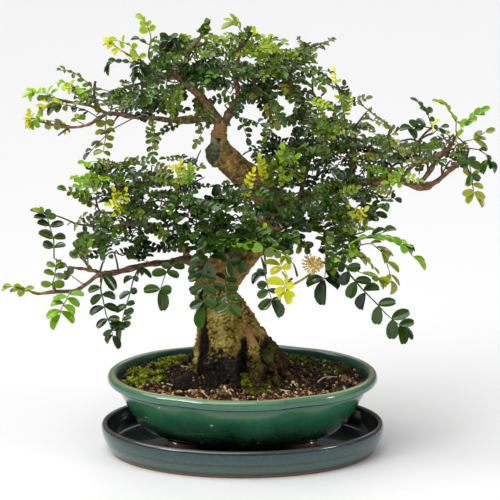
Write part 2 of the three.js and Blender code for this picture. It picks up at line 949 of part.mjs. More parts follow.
// A point on the straight stretches between a route's points.
function stretchPoint(route, share) {
  const reach = share * (route.length - 1);
  const start = Math.min(Math.floor(reach), route.length - 2);
  return new THREE.Vector3(...route[start]).lerp(new THREE.Vector3(...route[start + 1]), reach - start);
}

// A round limb along a route. wave(angle, share) makes it uneven, and extra makes it fatter and longer.
function makeLimb(route, radiusAt, { sides, rings, wave = () => 1, extra = 0 }) {
  const points = Array.from({ length: rings }, (_, ring) => routePoint(route, ring / (rings - 1)));
  let across = new THREE.Vector3(1, 0, 0);
  const skin = points.map((point, ring) => {
    const ahead = points[Math.min(ring + 1, rings - 1)];
    const behind = points[Math.max(ring - 1, 0)];
    const along = ahead.clone().sub(behind).normalize();
    if (ring === 0 && Math.abs(along.x) > 0.8) {
      across = new THREE.Vector3(0, 1, 0);
    }
    across.addScaledVector(along, -across.dot(along)).normalize();
    const beside = along.clone().cross(across);
    const share = ring / (rings - 1);
    if (ring === 0 || ring === rings - 1) {
      point.addScaledVector(along, ring === 0 ? -extra : extra);
    }
    return Array.from({ length: sides }, (_, side) => {
      const angle = (2 * Math.PI * side) / sides;
      const radius = radiusAt(share) * wave(angle, share) + extra;
      return point.clone()
        .addScaledVector(across, radius * Math.cos(angle))
        .addScaledVector(beside, radius * Math.sin(angle));
    });
  });
  return skinRings(skin);
}

const between = (from, to, share) => from + (to - from) * share;

// The trunk swells and flutes, and is roughest low down.
function trunkWave(angle, share) {
  const rough = 0.06 * (1 - 0.5 * share);
  return 1 + rough * Math.sin(3 * angle + 7 * share) + 0.6 * rough * Math.sin(5 * angle - 11 * share);
}

// All the wood in one solid: it grew as one piece.
function makeWood(extra = 0) {
  const trunkRadius = (share) => {
    const reach = share * (trunkRoute.length - 1);
    const start = Math.min(Math.floor(reach), trunkRoute.length - 2);
    return between(trunkRoute[start][3], trunkRoute[start + 1][3], reach - start);
  };
  const parts = [makeLimb(trunkRoute, trunkRadius, { sides: 11, rings: 16, wave: trunkWave, extra })];
  for (const { route, radii } of roots) {
    const radiusAt = (share) => between(radii[0], radii[1], share);
    parts.push(makeLimb(route, radiusAt, { sides: 5, rings: 4, extra }));
  }
  for (const { route, radii } of Object.values(branches)) {
    const radiusAt = (share) => between(radii[0], radii[1], share);
    const sides = Math.max(4, Math.min(6, Math.round(radii[0] + 1)));
    parts.push(makeLimb(route, radiusAt, { sides, rings: route.length, extra }));
  }
  return wasm.Manifold.union(parts);
}

// Low cushions of moss on the soil, cut to the soil's own surface.
function makeMoss(cushions, soil, wood) {
  const domes = cushions.map(([x, y, radius], index) => {
    const dome = new THREE.SphereGeometry(radius, 6, 4);
    dome.rotateX(Math.PI / 2);
    dome.rotateZ(index);
    dome.scale(1, 0.9, 0.45);
    dome.translate(x, y, soilHeight(x, y));
    return toSolid(dome);
  });
  const cut = wasm.Manifold.union(domes)
    .subtract(soil.translate([0, 0, restingGap]))
    .subtract(wood);
  return largestPiece(cut);
}

// A dense cluster of flower buds at the end of its stalk.
function makeFlowerCluster(wideWood) {
  const { stalkStart, middle, reach, buds, budRadius } = flowerCluster;
  const heart = new THREE.IcosahedronGeometry(reach, 0);
  heart.translate(...middle);
  const parts = [makeLimb([stalkStart, middle], () => 0.9, { sides: 4, rings: 2 }), toSolid(heart)];
  const golden = Math.PI * (3 - Math.sqrt(5));
  for (let bud = 0; bud < buds; bud += 1) {
    const lean = 1 - (1.5 * (bud + 0.5)) / buds;
    const ring = Math.sqrt(1 - lean * lean) * reach;
    const shape = new THREE.OctahedronGeometry(budRadius, 0);
    shape.rotateX(bud);
    shape.translate(ring * Math.cos(golden * bud), -lean * reach, ring * Math.sin(golden * bud));
    shape.translate(...middle);
    parts.push(toSolid(shape));
  }
  return wasm.Manifold.union(parts).subtract(wideWood);
}

// A compound leaf: a bowed rib with leaflets in pairs and one at the end, in one solid.
function makeCompoundLeaf({ base, tip, bow, facing }) {
  const chord = tip.clone().sub(base);
  const length = chord.length();
  chord.normalize();
  const upper = facing.clone().addScaledVector(chord, -facing.dot(chord)).normalize();
  const bend = base.clone().add(tip).multiplyScalar(0.5).addScaledVector(upper, 2 * bow);
  const point = (t) => base.clone().multiplyScalar((1 - t) ** 2)
    .addScaledVector(bend, 2 * t * (1 - t))
    .addScaledVector(tip, t * t);
  const leafletLength = Math.max(3.2, Math.min(11, 0.27 * length));
  const pairs = length < shortLeaf ? 0 : Math.max(1, Math.min(4, Math.round(length / pairPitch) - 1));
  const frameAt = (t) => {
    const along = point(Math.min(1, t + 0.02)).sub(point(t - 0.02)).normalize();
    const top = upper.clone().addScaledVector(along, -upper.dot(along)).normalize();
    return { place: point(t), along, top, side: along.clone().cross(top) };
  };
  const corners = [];
  const triangles = [];
  const add = (place) => corners.push(place) - 1;

  // The rib has three corners at each station: left, right and below.
  const station = (t) => {
    const { place, top, side } = frameAt(t);
    return {
      t,
      left: add(place.clone().addScaledVector(side, -ribHalfWidth).addScaledVector(top, 0.3)),
      right: add(place.clone().addScaledVector(side, ribHalfWidth).addScaledVector(top, 0.3)),
      below: add(place.clone().addScaledVector(top, 0.3 - ribDepth)),
    };
  };
  // A leaflet grows from the rib's flank, between two stations, or from the rib's end.
  const leaflet = (topStart, topEnd, belowStart, belowEnd, root, outward, across, top, size) => {
    const width = size * 0.62;
    const rim = [[0.42, -0.5], [0.97, -0.2], [0.97, 0.2], [0.42, 0.5]].map(([out, aside]) => (
      add(root.clone().addScaledVector(outward, out * size).addScaledVector(across, aside * width))
    ));
    const crown = add(root.clone().addScaledVector(outward, size * 0.5)
      .addScaledVector(top, leafletThickness * 0.7));
    const upperRim = [topStart, ...rim, topEnd];
    for (let edge = 0; edge < upperRim.length; edge += 1) {
      triangles.push([upperRim[edge], upperRim[(edge + 1) % upperRim.length], crown]);
    }
    triangles.push([belowStart, rim[1], rim[0]], [belowStart, rim[2], rim[1]]);
    triangles.push([belowStart, rim[3], rim[2]]);
    if (belowEnd !== belowStart) {
      triangles.push([belowStart, belowEnd, rim[3]]);
    }
    triangles.push([topStart, belowStart, rim[0]], [rim[3], belowEnd, topEnd]);
  };

  const ribEnd = 1 - (1.25 * leafletLength) / length;
  const halfRoot = 0.7 / length;
  const stations = [station(0)];
  for (let pair = 0; pair < pairs; pair += 1) {
    const t = between(0.24, ribEnd, (pair + (pairs === 1 ? 0.45 : 0.3)) / pairs);
    stations.push(station(t - halfRoot), station(t + halfRoot));
  }
  stations.push(station(ribEnd));

  triangles.push([stations[0].left, stations[0].below, stations[0].right]);
  for (let index = 0; index + 1 < stations.length; index += 1) {
    const start = stations[index];
    const end = stations[index + 1];
    triangles.push([start.left, start.right, end.right], [start.left, end.right, end.left]);
    if (index % 2 === 0) {
      triangles.push([start.left, end.below, start.below], [start.left, end.left, end.below]);
      triangles.push([start.right, end.below, end.right], [start.right, start.below, end.below]);
    } else {
      const { place, along, top, side } = frameAt((start.t + end.t) / 2);
      const size = leafletLength * between(0.9, 1, index / stations.length);
      for (const hand of [-1, 1]) {
        const root = place.clone().addScaledVector(side, hand * ribHalfWidth);
        const outward = side.clone().multiplyScalar(hand * 0.88).addScaledVector(along, 0.47);
        outward.addScaledVector(top, -0.1).normalize();
        const across = along.clone().addScaledVector(outward, -along.dot(outward)).normalize();
        if (hand === 1) {
          leaflet(start.right, end.right, start.below, end.below, root, outward, across, top, size);
        } else {
          across.negate();
          leaflet(end.left, start.left, end.below, start.below, root, outward, across, top, size);
        }
      }
    }
  }
  const tail = stations[stations.length - 1];
  const { place, along, top, side } = frameAt(ribEnd);
  const across = side.clone().negate();
  leaflet(tail.right, tail.left, tail.below, tail.below, place, along, across, top, leafletLength * 1.25);
  return facetSolid(corners, triangles);
}

// The compound leaves that a leafy stem bears: one at its end and the rest alternating below it.
function leavesAlong(stem, draw) {
  const end = routePoint(stem.route, 1);
  const heading = end.clone().sub(routePoint(stem.route, 0.5));
  const outward = new THREE.Vector3(end.x * 0.4, end.y, 0).normalize();
  const turn = Math.atan2(heading.y + outward.y * 2, heading.x + outward.x * 2);
  const swings = [0, 0.95, -0.95, 1.7];
  return Array.from({ length: stem.leaves }, (_, index) => {
    const angle = turn + swings[index] + (draw() - 0.5) * 0.4;
    const rise = 0.16 - 0.5 * draw();
    const length = leafReach * between(0.85, 1.12, draw()) * (index === 0 ? 1 : shortShare);
    const base = stretchPoint(stem.route, 1 - 0.24 * index);
    const reach = new THREE.Vector3(Math.cos(angle), Math.sin(angle), rise).normalize();
    return {
      base,
      tip: base.clone().addScaledVector(reach, length),
      bow: between(2, 4, draw()),
      facing: new THREE.Vector3(0, 0, 1).addScaledVector(outward, 0.35 + 0.3 * draw()),
    };
  });
}

// Every compound leaf of a spray, those with their own places first.
function leavesOf(spray, draw) {
  const placed = (spray.placed ?? []).map(([stem, share, tip, bow, front]) => ({
    base: stretchPoint(spray.stems[stem].route, share),
    tip: new THREE.Vector3(...tip),
    bow,
    facing: new THREE.Vector3(0, -front, 1 - front),
  }));
  const grown = spray.stems.filter((stem) => stem.leaves).flatMap((stem) => leavesAlong(stem, draw));
  return [...placed, ...grown];
}

// How far a leaf may turn, in radians, sideways and up, to keep clear of its neighbours.
const leans = [0, 0.2, -0.2, 0.4, -0.4, 0.6, -0.6]
  .flatMap((aside) => [0, 0.2, -0.2, 0.4, -0.4].map((lift) => [aside, lift]))
  .sort((a, b) => Math.hypot(...a) - Math.hypot(...b));

function leanLeaf(leaf, [aside, lift]) {
  const chord = leaf.tip.clone().sub(leaf.base);
  const hinge = chord.clone().cross(leaf.facing).normalize();
  const face = leaf.facing.clone().normalize();
  chord.applyAxisAngle(face, aside).applyAxisAngle(hinge, lift);
  return { ...leaf, tip: leaf.base.clone().add(chord) };
}

function boxesMeet(a, b) {
  return [0, 1, 2].every((axis) => (
    a.min[axis] < b.max[axis] + restingGap && b.min[axis] < a.max[axis] + restingGap
  ));
}

// Whether a solid keeps its gap to all of the others.
function isClear(solid, others) {
  const box = solid.boundingBox();
  return others.every((other) => (
    !boxesMeet(box, other.box) || solid.minGap(other.solid, 2 * restingGap) > restingGap
  ));
}

// How much of a solid lies inside its own spray.
function sharedVolume(solid, pieces) {
  const box = solid.boundingBox();
  return pieces.filter((piece) => boxesMeet(box, piece.box))
    .reduce((sum, piece) => sum + solid.intersect(piece.solid).volume(), 0);
}

const withBox = (solid) => ({ solid, box: solid.boundingBox() });

// The piece that is left with the most volume where a cut has split a solid.
function largestPiece(solid) {
  return solid.decompose().sort((a, b) => b.volume() - a.volume())[0];
}

// Grows every spray: all stems first, then the leaves, each bent clear of the other sprays.
function growSprays(fixedSolids, wideWood) {
  const fixed = fixedSolids.map(withBox);
  const grown = sprays.map((spray) => {
    const stems = spray.stems.map(({ route }) => makeLimb(
      route,
      (share) => between(stemRadius, stemTipRadius, share),
      { sides: 3, rings: route.length },
    ));
    const stem = largestPiece(wasm.Manifold.union(stems).subtract(wideWood));
    return { spray, pieces: [withBox(stem)] };
  });
  grown.forEach((own, index) => {
    const others = grown.filter((other) => other !== own).flatMap((other) => other.pieces);
    const draw = makeDraw(41 + index * 97);
    for (const leaf of leavesOf(own.spray, draw)) {
      const choices = leans.map((lean) => makeCompoundLeaf(leanLeaf(leaf, lean)))
        .filter((solid) => isClear(solid, [...fixed, ...others]))
        .map((solid) => ({ solid, shared: sharedVolume(solid, own.pieces) }));
      if (choices.length > 0) {
        const best = choices.reduce((a, c) => (c.shared < a.shared - leastShare ? c : a));
        own.pieces.push(withBox(best.solid));
      }
    }
  });
  return grown.map(({ spray, pieces }) => ({
    name: spray.name,
    tone: spray.tone,
    solid: wasm.Manifold.union(pieces.map((piece) => piece.solid)),
  }));
}

const materials = {
  saucerGlaze: new THREE.MeshStandardMaterial({ color: 0x2f5c60, roughness: 0.2, metalness: 0 }),
  potGlaze: new THREE.MeshStandardMaterial({ color: 0x22603c, roughness: 0.15, metalness: 0 }),
  meshPlastic: new THREE.MeshStandardMaterial({ color: 0x202020, roughness: 0.6, metalness: 0 }),
  soil: new THREE.MeshStandardMaterial({ color: 0x2c1d14, roughness: 0.95, metalness: 0 }),
  moss: new THREE.MeshStandardMaterial({ color: 0x6a8f1c, roughness: 0.9, metalness: 0 }),
  bark: new THREE.MeshStandardMaterial({ color: 0x80654a, roughness: 0.85, metalness: 0 }),
  flower: new THREE.MeshStandardMaterial({ color: 0xe3d06a, roughness: 0.6, metalness: 0 }),
  dark: new THREE.MeshStandardMaterial({ color: 0x1f4d22, roughness: 0.35, metalness: 0 }),
  mid: new THREE.MeshStandardMaterial({ color: 0x3f7a1e, roughness: 0.4, metalness: 0 }),
  olive: new THREE.MeshStandardMaterial({ color: 0x6f8d34, roughness: 0.45, metalness: 0 }),
  light: new THREE.MeshStandardMaterial({ color: 0x5d9a2c, roughness: 0.45, metalness: 0 }),
  fresh: new THREE.MeshStandardMaterial({ color: 0x6fae1e, roughness: 0.45, metalness: 0 }),
  bright: new THREE.MeshStandardMaterial({ color: 0x7cc022, roughness: 0.45, metalness: 0 }),
  young: new THREE.MeshStandardMaterial({ color: 0xc8d81e, roughness: 0.5, metalness: 0 }),
};

const bonsai = new THREE.Group();

function place(name, solid, material) {
  const { vertProperties, triVerts } = largestPiece(solid.simplify(0.06)).getMesh();
  const geometry = new THREE.BufferGeometry();
  geometry.setAttribute('position', new THREE.BufferAttribute(vertProperties, 3));
  geometry.setIndex(new THREE.BufferAttribute(triVerts, 1));
  const mesh = new THREE.Mesh(geometry, material);
  mesh.name = name;
  bonsai.add(mesh);
}

const saucer = makeSaucer();
const pot = makePot();
const wood = makeWood();
const wideWood = makeWood(restingGap + 0.1);
const soil = makeSoil().subtract(wideWood);
const flowers = makeFlowerCluster(wideWood);

place('saucer', saucer, materials.saucerGlaze);
place('pot', pot, materials.potGlaze);
place('drain_mesh_left', makeDrainMesh(-1), materials.meshPlastic);
place('drain_mesh_right', makeDrainMesh(1), materials.meshPlastic);
place('soil', soil, materials.soil);
place('moss_left', makeMoss(mossCushions.left, soil, wideWood), materials.moss);
place('moss_right', makeMoss(mossCushions.right, soil, wideWood), materials.moss);
place('trunk', wood, materials.bark);
place('flower_cluster', flowers, materials.flower);
for (const { name, tone, solid } of growSprays([wood, pot, soil, flowers], wideWood)) {
  place(name, solid, materials[tone]);
}

export default bonsai;
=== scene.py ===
import bmesh
import bpy
import math
import numpy as np
import random
from mathutils import Matrix, Vector, noise


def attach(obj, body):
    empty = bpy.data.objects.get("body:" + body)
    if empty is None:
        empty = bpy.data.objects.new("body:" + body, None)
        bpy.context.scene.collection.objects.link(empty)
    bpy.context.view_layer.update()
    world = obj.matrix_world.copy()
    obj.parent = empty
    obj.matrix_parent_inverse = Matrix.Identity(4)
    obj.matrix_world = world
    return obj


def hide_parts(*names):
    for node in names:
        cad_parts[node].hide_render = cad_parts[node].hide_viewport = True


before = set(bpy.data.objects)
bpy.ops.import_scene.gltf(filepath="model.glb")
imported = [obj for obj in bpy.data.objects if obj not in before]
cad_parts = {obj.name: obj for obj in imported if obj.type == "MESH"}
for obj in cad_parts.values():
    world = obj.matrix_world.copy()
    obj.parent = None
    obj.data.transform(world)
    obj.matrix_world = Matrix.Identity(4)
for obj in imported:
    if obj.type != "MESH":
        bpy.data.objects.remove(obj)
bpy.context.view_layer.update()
print("frame loaded")

mm = 0.001  # every size below is in millimetres
noise.seed_set(7)  # or else the noise would change with the time of day
fullTurn = 2 * math.pi

# numbers and curves


def readNumbers(text):
    # rows of numbers, set apart by commas
    return [[float(word) for word in row.split()] for row in text.split(",") if row.strip()]


def readTable(text):
    # rows that end in a semicolon: words, and after each bar a list of numbers
    for row in text.split(";")[:-1]:
        words, *lists = row.split("|")
        yield (words.split(), *lists)


def between(low, high, share):
    return low + (high - low) * share


def fade(value, low, high):
    # 0 below low and 1 above high, also for low > high
    t = max(0.0, min(1.0, (value - low) / (high - low)))
    return t * t * (3 - 2 * t)


def curvePoint(a, b, c, d, t):
    # a point between b and c, on the smooth curve through all four
    return 0.5 * (2 * b + (c - a) * t + (2 * a - 5 * b + 4 * c - d) * t ** 2 + (3 * b - a - 3 * c + d) * t ** 3)


def routeStep(route, share):
    # the stretch of a route that holds a share of it, and how far along the stretch that is
    reach = share * (len(route) - 1)
    start = min(int(reach), len(route) - 2)
    return start, reach - start


def routePoint(route, share):
    # on the smooth curve through a route
    start, t = routeStep(route, share)
    near = (Vector(route[max(0, min(len(route) - 1, start + k))][:3]) for k in (-1, 0, 1, 2))
    return curvePoint(*near, t)


def stretchPoint(route, share):
    # on the straight stretches of a route
    start, t = routeStep(route, share)
    return Vector(route[start]).lerp(Vector(route[start + 1]), t)


# meshes


def linked(thing):
    bpy.context.scene.collection.objects.link(thing)
    return thing


def newMesh(name, corners, faces=(), material=None, smooth=True, edges=()):
    mesh = bpy.data.meshes.new(name)
    mesh.from_pydata([tuple(c) for c in corners], edges, faces)
    if material:
        mesh.materials.append(material)
    if smooth:
        mesh.shade_smooth()
    return linked(bpy.data.objects.new(name, mesh))


def ringFaces(rings, sides, inward=False):
    # the faces between rings of corners that follow each other
    faces = []
    for a in range(0, rings * sides, sides):
        b = a + sides
        for s in range(sides):
            t = (s + 1) % sides
            faces.append((a + s, b + s, b + t, a + t) if inward else (a + s, a + t, b + t, b + s))
    return faces


def capFaces(rings, sides):
    # a face over the first ring and one over the last
    return [tuple(reversed(range(sides))), tuple(range(rings * sides, (rings + 1) * sides))]


def storeValues(piece, name, values, kind="FLOAT"):
    layer = piece.data.attributes.new(name, kind, "POINT")
    values = np.asarray(values, dtype=np.int32 if kind == "INT" else np.float32)
    layer.data.foreach_set("vector" if kind == "FLOAT_VECTOR" else "value", values.ravel())


def joinPieces(first, *others):
    # one object out of several
    for part in (*others, first):
        part.select_set(True)
    bpy.context.view_layer.objects.active = first
    bpy.ops.object.join()
    first.select_set(False)
    return first


def evaluatedCopy(source, name):
    graph = bpy.context.evaluated_depsgraph_get()
    mesh = bpy.data.meshes.new_from_object(source.evaluated_get(graph))
    bpy.data.objects.remove(source)
    return linked(bpy.data.objects.new(name, mesh))


def finishPiece(piece, name, slot, *nodes):
    piece.name = name
    piece.data.name = name
    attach(piece, "root")
    if nodes:
        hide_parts(*nodes)
    return piece


# nodes: each goes into the tree that its inputs come from


def addNode(kind, inputs=None, tree=None, **settings):
    inputs = inputs or {}
    tree = tree or next(value.id_data for value in inputs.values() if isinstance(value, bpy.types.NodeSocket))
    node = tree.nodes.new(kind)
    for key, value in settings.items():
        setattr(node, key, value)
    fillInputs(node, inputs)
    return node


def fillInputs(node, inputs):
    for key, value in inputs.items():
        if isinstance(value, bpy.types.NodeSocket):
            node.id_data.links.new(value, node.inputs[key])
        else:
            node.inputs[key].default_value = value


def mathNode(operation, a, b=0.0, clamp=False):
    return addNode("ShaderNodeMath", {0: a, 1: b}, operation=operation, use_clamp=clamp).outputs[0]


def plus(a, b, clamp=False):
    return mathNode("ADD", a, b, clamp)


def minus(a, b):
    return mathNode("SUBTRACT", a, b)


def times(a, b, clamp=False):
    return mathNode("MULTIPLY", a, b, clamp)


def larger(a, b):
    return mathNode("MAXIMUM", a, b)


def spread(value, low, high, outLow=0.0, outHigh=1.0):
    return addNode("ShaderNodeMapRange", {0: value, 1: low, 2: high, 3: outLow, 4: outHigh}).outputs[0]


def colour(hexText):
    channels = [int(hexText[i:i + 2], 16) / 255 for i in (0, 2, 4)]
    return [c / 12.92 if c <= 0.04045 else ((c + 0.055) / 1.055) ** 2.4 for c in channels] + [1.0]


def mixColour(factor, a, b):
    a, b = (colour(shade) if isinstance(shade, str) else shade for shade in (a, b))
    return addNode("ShaderNodeMix", {0: factor, 6: a, 7: b}, data_type="RGBA").outputs[2]


def paint(body, mask, shade, amount=1):
    # a shade laid over the body where the mask is 1
    return mixColour(mask if amount == 1 else times(mask, amount), body, shade)


def rampNode(value, stops):
    node = addNode("ShaderNodeValToRGB", {0: value})
    while len(node.color_ramp.elements) < len(stops):
        node.color_ramp.elements.new(0.5)
    for element, (place, hexText) in zip(node.color_ramp.elements, stops.items()):
        element.position = place
        element.color = colour(hexText)
    return node.outputs[0]


def noiseNode(vector, scale, detail=4.0, roughness=0.55, distortion=0.0):
    inputs = {"Vector": vector, "Scale": scale, "Detail": detail, "Roughness": roughness, "Distortion": distortion}
    return addNode("ShaderNodeTexNoise", inputs).outputs[0]


def cellNode(vector, scale):
    return addNode("ShaderNodeTexVoronoi", {"Vector": vector, "Scale": scale, "Randomness": 1.0}).outputs


def heightOf(where):
    return addNode("ShaderNodeSeparateXYZ", {0: where}).outputs[2]


def attributeValue(tree, name):
    return addNode("ShaderNodeAttribute", tree=tree, attribute_name=name).outputs["Fac"]


def objectPlace(tree):
    return addNode("ShaderNodeTexCoord", tree=tree).outputs["Object"]


def startMaterial(name):
    material = bpy.data.materials.new(name)
    material.use_nodes = True
    return material, material.node_tree, objectPlace(material.node_tree)


def endMaterial(material, surface, roughness, relief=None, strength=1.0, depth=1.0, **more):
    # relief has a strength and a depth in mm, and more are other values of the shader
    inputs = {"Base Color": surface, "Roughness": roughness}
    if relief:
        bump = addNode("ShaderNodeBump", {"Height": relief, "Strength": strength, "Distance": depth * mm})
        inputs["Normal"] = bump.outputs[0]
    names = {"specular": "Specular IOR Level", "coat": "Coat Weight", "coatRoughness": "Coat Roughness", "ior": "IOR"}
    inputs.update({names[key]: value for key, value in more.items()})
    fillInputs(material.node_tree.nodes["Principled BSDF"], inputs)
    return material


def newTree(name, kind, inputs, outputs):
    # a node tree of its own with named inputs and outputs
    tree = bpy.data.node_groups.new(name, kind + "NodeTree")
    for way, sockets in (("INPUT", inputs), ("OUTPUT", outputs)):
        for label, socket in sockets.items():
            tree.interface.new_socket(label, in_out=way, socket_type="NodeSocket" + socket)
    return tree, tree.nodes.new("NodeGroupInput").outputs, tree.nodes.new("NodeGroupOutput")


def useGroup(tree, group, inputs):
    return addNode("ShaderNodeGroup", inputs, tree, node_tree=group).outputs


def growTree(name, inputs):
    # a geometry node tree that takes points or lines and a material
    inputs = {"Geometry": "Geometry", "Material": "Material", **inputs}
    return newTree(name, "Geometry", inputs, {"Geometry": "Geometry"})


def closeTree(start, end, shapes):
    # makes instances real and gives them their material
    real = addNode("GeometryNodeRealizeInstances", {0: shapes})
    painted = addNode("GeometryNodeSetMaterial", {"Geometry": real.outputs[0], "Material": start["Material"]})
    fillInputs(end, {0: painted.outputs[0]})


def placeShapes(start, end, shapes, pick, turn, size):
    # one of the shapes on every point
    choices = start[0].id_data.nodes.new("GeometryNodeJoinGeometry")
    for shape in shapes:
        info = addNode("GeometryNodeObjectInfo", {"Object": shape, "As Instance": True}, choices.id_data)
        choices.id_data.links.new(info.outputs["Geometry"], choices.inputs[0])
    inputs = {"Points": start["Geometry"], "Instance": choices.outputs[0], "Pick Instance": True,
              "Instance Index": pick, "Rotation": turn, "Scale": size}
    closeTree(start, end, addNode("GeometryNodeInstanceOnPoints", inputs).outputs[0])


def namedValue(tree, name, kind="FLOAT"):
    return addNode("GeometryNodeInputNamedAttribute", {"Name": name}, tree, data_type=kind).outputs[0]


def runNodes(source, tree, name, material, **values):
    # sets the named inputs by their identifiers, evaluates, and keeps the plain mesh alone
    grow = source.modifiers.new("nodes", "NODES")
    grow.node_group = tree
    sockets = {item.name: item.identifier for item in tree.interface.items_tree if item.in_out == "INPUT"}
    for label, value in {"Material": material, **values}.items():
        grow[sockets[label]] = value
    return evaluatedCopy(source, name)


# the camera stands where the photograph was taken from, in millimetres and degrees
cameraSettings = {"place": (6.1, -1600, 565), "pitchDown": 13.97, "lens": 148.65, "sensor": 36}


def makeCamera(settings):
    lens = bpy.data.cameras.new("camera")
    lens.lens, lens.sensor_width = settings["lens"], settings["sensor"]
    lens.clip_start, lens.clip_end = 0.05, 30
    holder = linked(bpy.data.objects.new("camera", lens))
    holder.location = [v * mm for v in settings["place"]]
    holder.rotation_euler = (math.radians(90 - settings["pitchDown"]), 0, 0)
    bpy.context.scene.camera = holder


# a pale floor, wide soft suns that give the even light of a studio, and two softboxes
studio = {
    "floorHalf": 9.0, "floor": "ebebeb", "surround": 0.16,
    # where each sun shines from, its strength, and how wide it is in degrees
    "suns": {"keyLight": ((-0.75, -0.5, 1.7), 2.75, 60), "fillLight": ((0.8, -0.5, 0.9), 0.3, 60),
             "backLight": ((0.1, 0.8, 1), 0.6, 50)},
    # for the streaks on the glaze: place, target, size and power
    "lamps": {"leftBox": ((-1.0, -0.9, 0.9), (0, 0, 0.15), 0.4, 4.4),
              "rightBox": ((1.2, -0.7, 0.8), (0, 0, 0.15), 0.28, 3.2)},
}


def makeLight(name, kind, energy, direction):
    # a lamp shines along its own -Z, so its Z points back along the direction
    lamp = bpy.data.lights.new(name, kind)
    lamp.energy = energy
    holder = linked(bpy.data.objects.new(name, lamp))
    holder.rotation_euler = Vector(direction).to_track_quat("-Z" if kind == "AREA" else "Z", "Y").to_euler()
    return lamp, holder


def makeStudio(settings):
    material, tree, where = startMaterial("paleFloor")
    endMaterial(material, colour(settings["floor"]), 0.6, specular=0.2)
    half = settings["floorHalf"]
    corners = [(-half, -half, 0), (half, -half, 0), (half, half, 0), (-half, half, 0)]
    newMesh("floor", corners, [(0, 1, 2, 3)], material, smooth=False)
    for name, (source, strength, width) in settings["suns"].items():
        sun, holder = makeLight(name, "SUN", strength, source)
        sun.angle = math.radians(width)
    for name, (place, target, size, power) in settings["lamps"].items():
        lamp, holder = makeLight(name, "AREA", power, Vector(target) - Vector(place))
        lamp.shape, lamp.size = "DISK", size
        holder.location = place
    scene = bpy.context.scene
    scene.world = bpy.data.worlds.new("surround")
    scene.world.use_nodes = True
    fillInputs(scene.world.node_tree.nodes["Background"], {0: (1, 1, 1, 1), 1: settings["surround"]})
    scene.view_settings.view_transform = "Standard"
    scene.view_settings.look = "None"


makeCamera(cameraSettings)
makeStudio(studio)
print("camera, floor and lamps set")

pot = {
    "halfLength": 109.7, "halfDepth": 82, "lobeDepth": 0.03, "lobeNotch": 1.1, "lobeSpread": 0.17,
    # inset from the outside and height, from the middle of the underside to the middle of the inside
    "profile": [(110, 15.2), (60, 15), (46, 15.2), (40, 15.9), (34, 17.8), (27.5, 22.2), (20.5, 31), (15, 41),
                (10.5, 49.5), (7.8, 54.6), (6.9, 56.6), (5.6, 57.0), (3.4, 57.2), (1.4, 58.5), (0.25, 60.6),
                (0.3, 62.6), (1.5, 64.8), (3.6, 65.9), (5.8, 65.7), (7.8, 64.2), (9.0, 61.5), (10.0, 58.5),
                (13.5, 51), (25, 32), (34, 24), (42, 21.6), (60, 21.5), (110, 21.5)],
    "foot": {"x": 47, "y": 24, "radius": 8, "stretch": 1.7, "taper": 0.14, "bottom": 6.0, "top": 17, "sides": 32,
             "profile": [(1.0, 0), (0.6, 0), (0.1, 0.5), (0, 1.5), (0, 11)]},
    "holeRadius": 7, "holeSpacing": 28,
}
saucer = {
    "halfLength": 115, "halfDepth": 79,
    "profile": [(115, 0.6), (30, 0.6), (14, 0.5), (9.6, 0), (8.2, 0), (6.9, 1.2), (5, 4.8), (2.8, 9), (1.2, 13.4),
                (0.25, 17.5), (0, 20), (0.3, 22), (1.2, 23.4), (2.5, 24), (3.7, 23.7), (4.8, 22.6),
                (5.6, 19.5), (6.2, 16), (7.4, 11.5), (9.5, 8), (13, 6.3), (18, 5.7), (40, 5.7), (115, 5.7)],
}
ovalSides = 224


def smoothProfile(points, steps=4):
    # a soft curve through the profile's points, which keeps within their own range
    result = []
    for index in range(len(points) - 1):
        a, b, c, d = (points[max(0, min(len(points) - 1, index + k))] for k in (-1, 0, 1, 2))
        for step in range(steps):
            soft = [curvePoint(a[k], b[k], c[k], d[k], step / steps) for k in (0, 1)]
            result.append([min(max(soft[k], min(b[k], c[k])), max(b[k], c[k])) for k in (0, 1)])
    return result + [points[-1]]


def ovalPoint(shape, angle, inset, height):
    # the pot's oval draws in at four notches between its lobes
    notch = 0.0
    if "lobeDepth" in shape:
        away = math.atan2(abs(math.sin(angle)), abs(math.cos(angle)))
        notch = shape["lobeDepth"] * math.exp(-((away - shape["lobeNotch"]) / shape["lobeSpread"]) ** 2)
    length, depth = shape["halfLength"], shape["halfDepth"]
    across = max(length - inset, 0) * (1 - notch)
    # far from the wall the rings grow rounder, so that they end in one point
    deep = max(depth - inset * (1 if inset < 50 else min(1, depth / length + 0.25)), 0) * (1 - notch)
    return (across * math.cos(angle) * mm, deep * math.sin(angle) * mm, height * mm)


def ovalRing(shape, inset, height, sides=ovalSides):
    return [ovalPoint(shape, fullTurn * s / sides, inset, height) for s in range(sides)]


def ringMesh(name, shape, material):
    # rings from the underside, over the rim, to the inside, and a point in the middle of both
    profile = smoothProfile(shape["profile"][1:-1])
    corners = [corner for inset, height in profile for corner in ovalRing(shape, inset, height)]
    faces = ringFaces(len(profile) - 1, ovalSides)
    corners += [(0, 0, shape["profile"][0][1] * mm), (0, 0, shape["profile"][-1][1] * mm)]
    last = (len(profile) - 1) * ovalSides
    for s in range(ovalSides):
        t = (s + 1) % ovalSides
        faces += [(t, s, len(corners) - 2), (last + s, last + t, len(corners) - 1)]
    return newMesh(name, corners, faces, material)


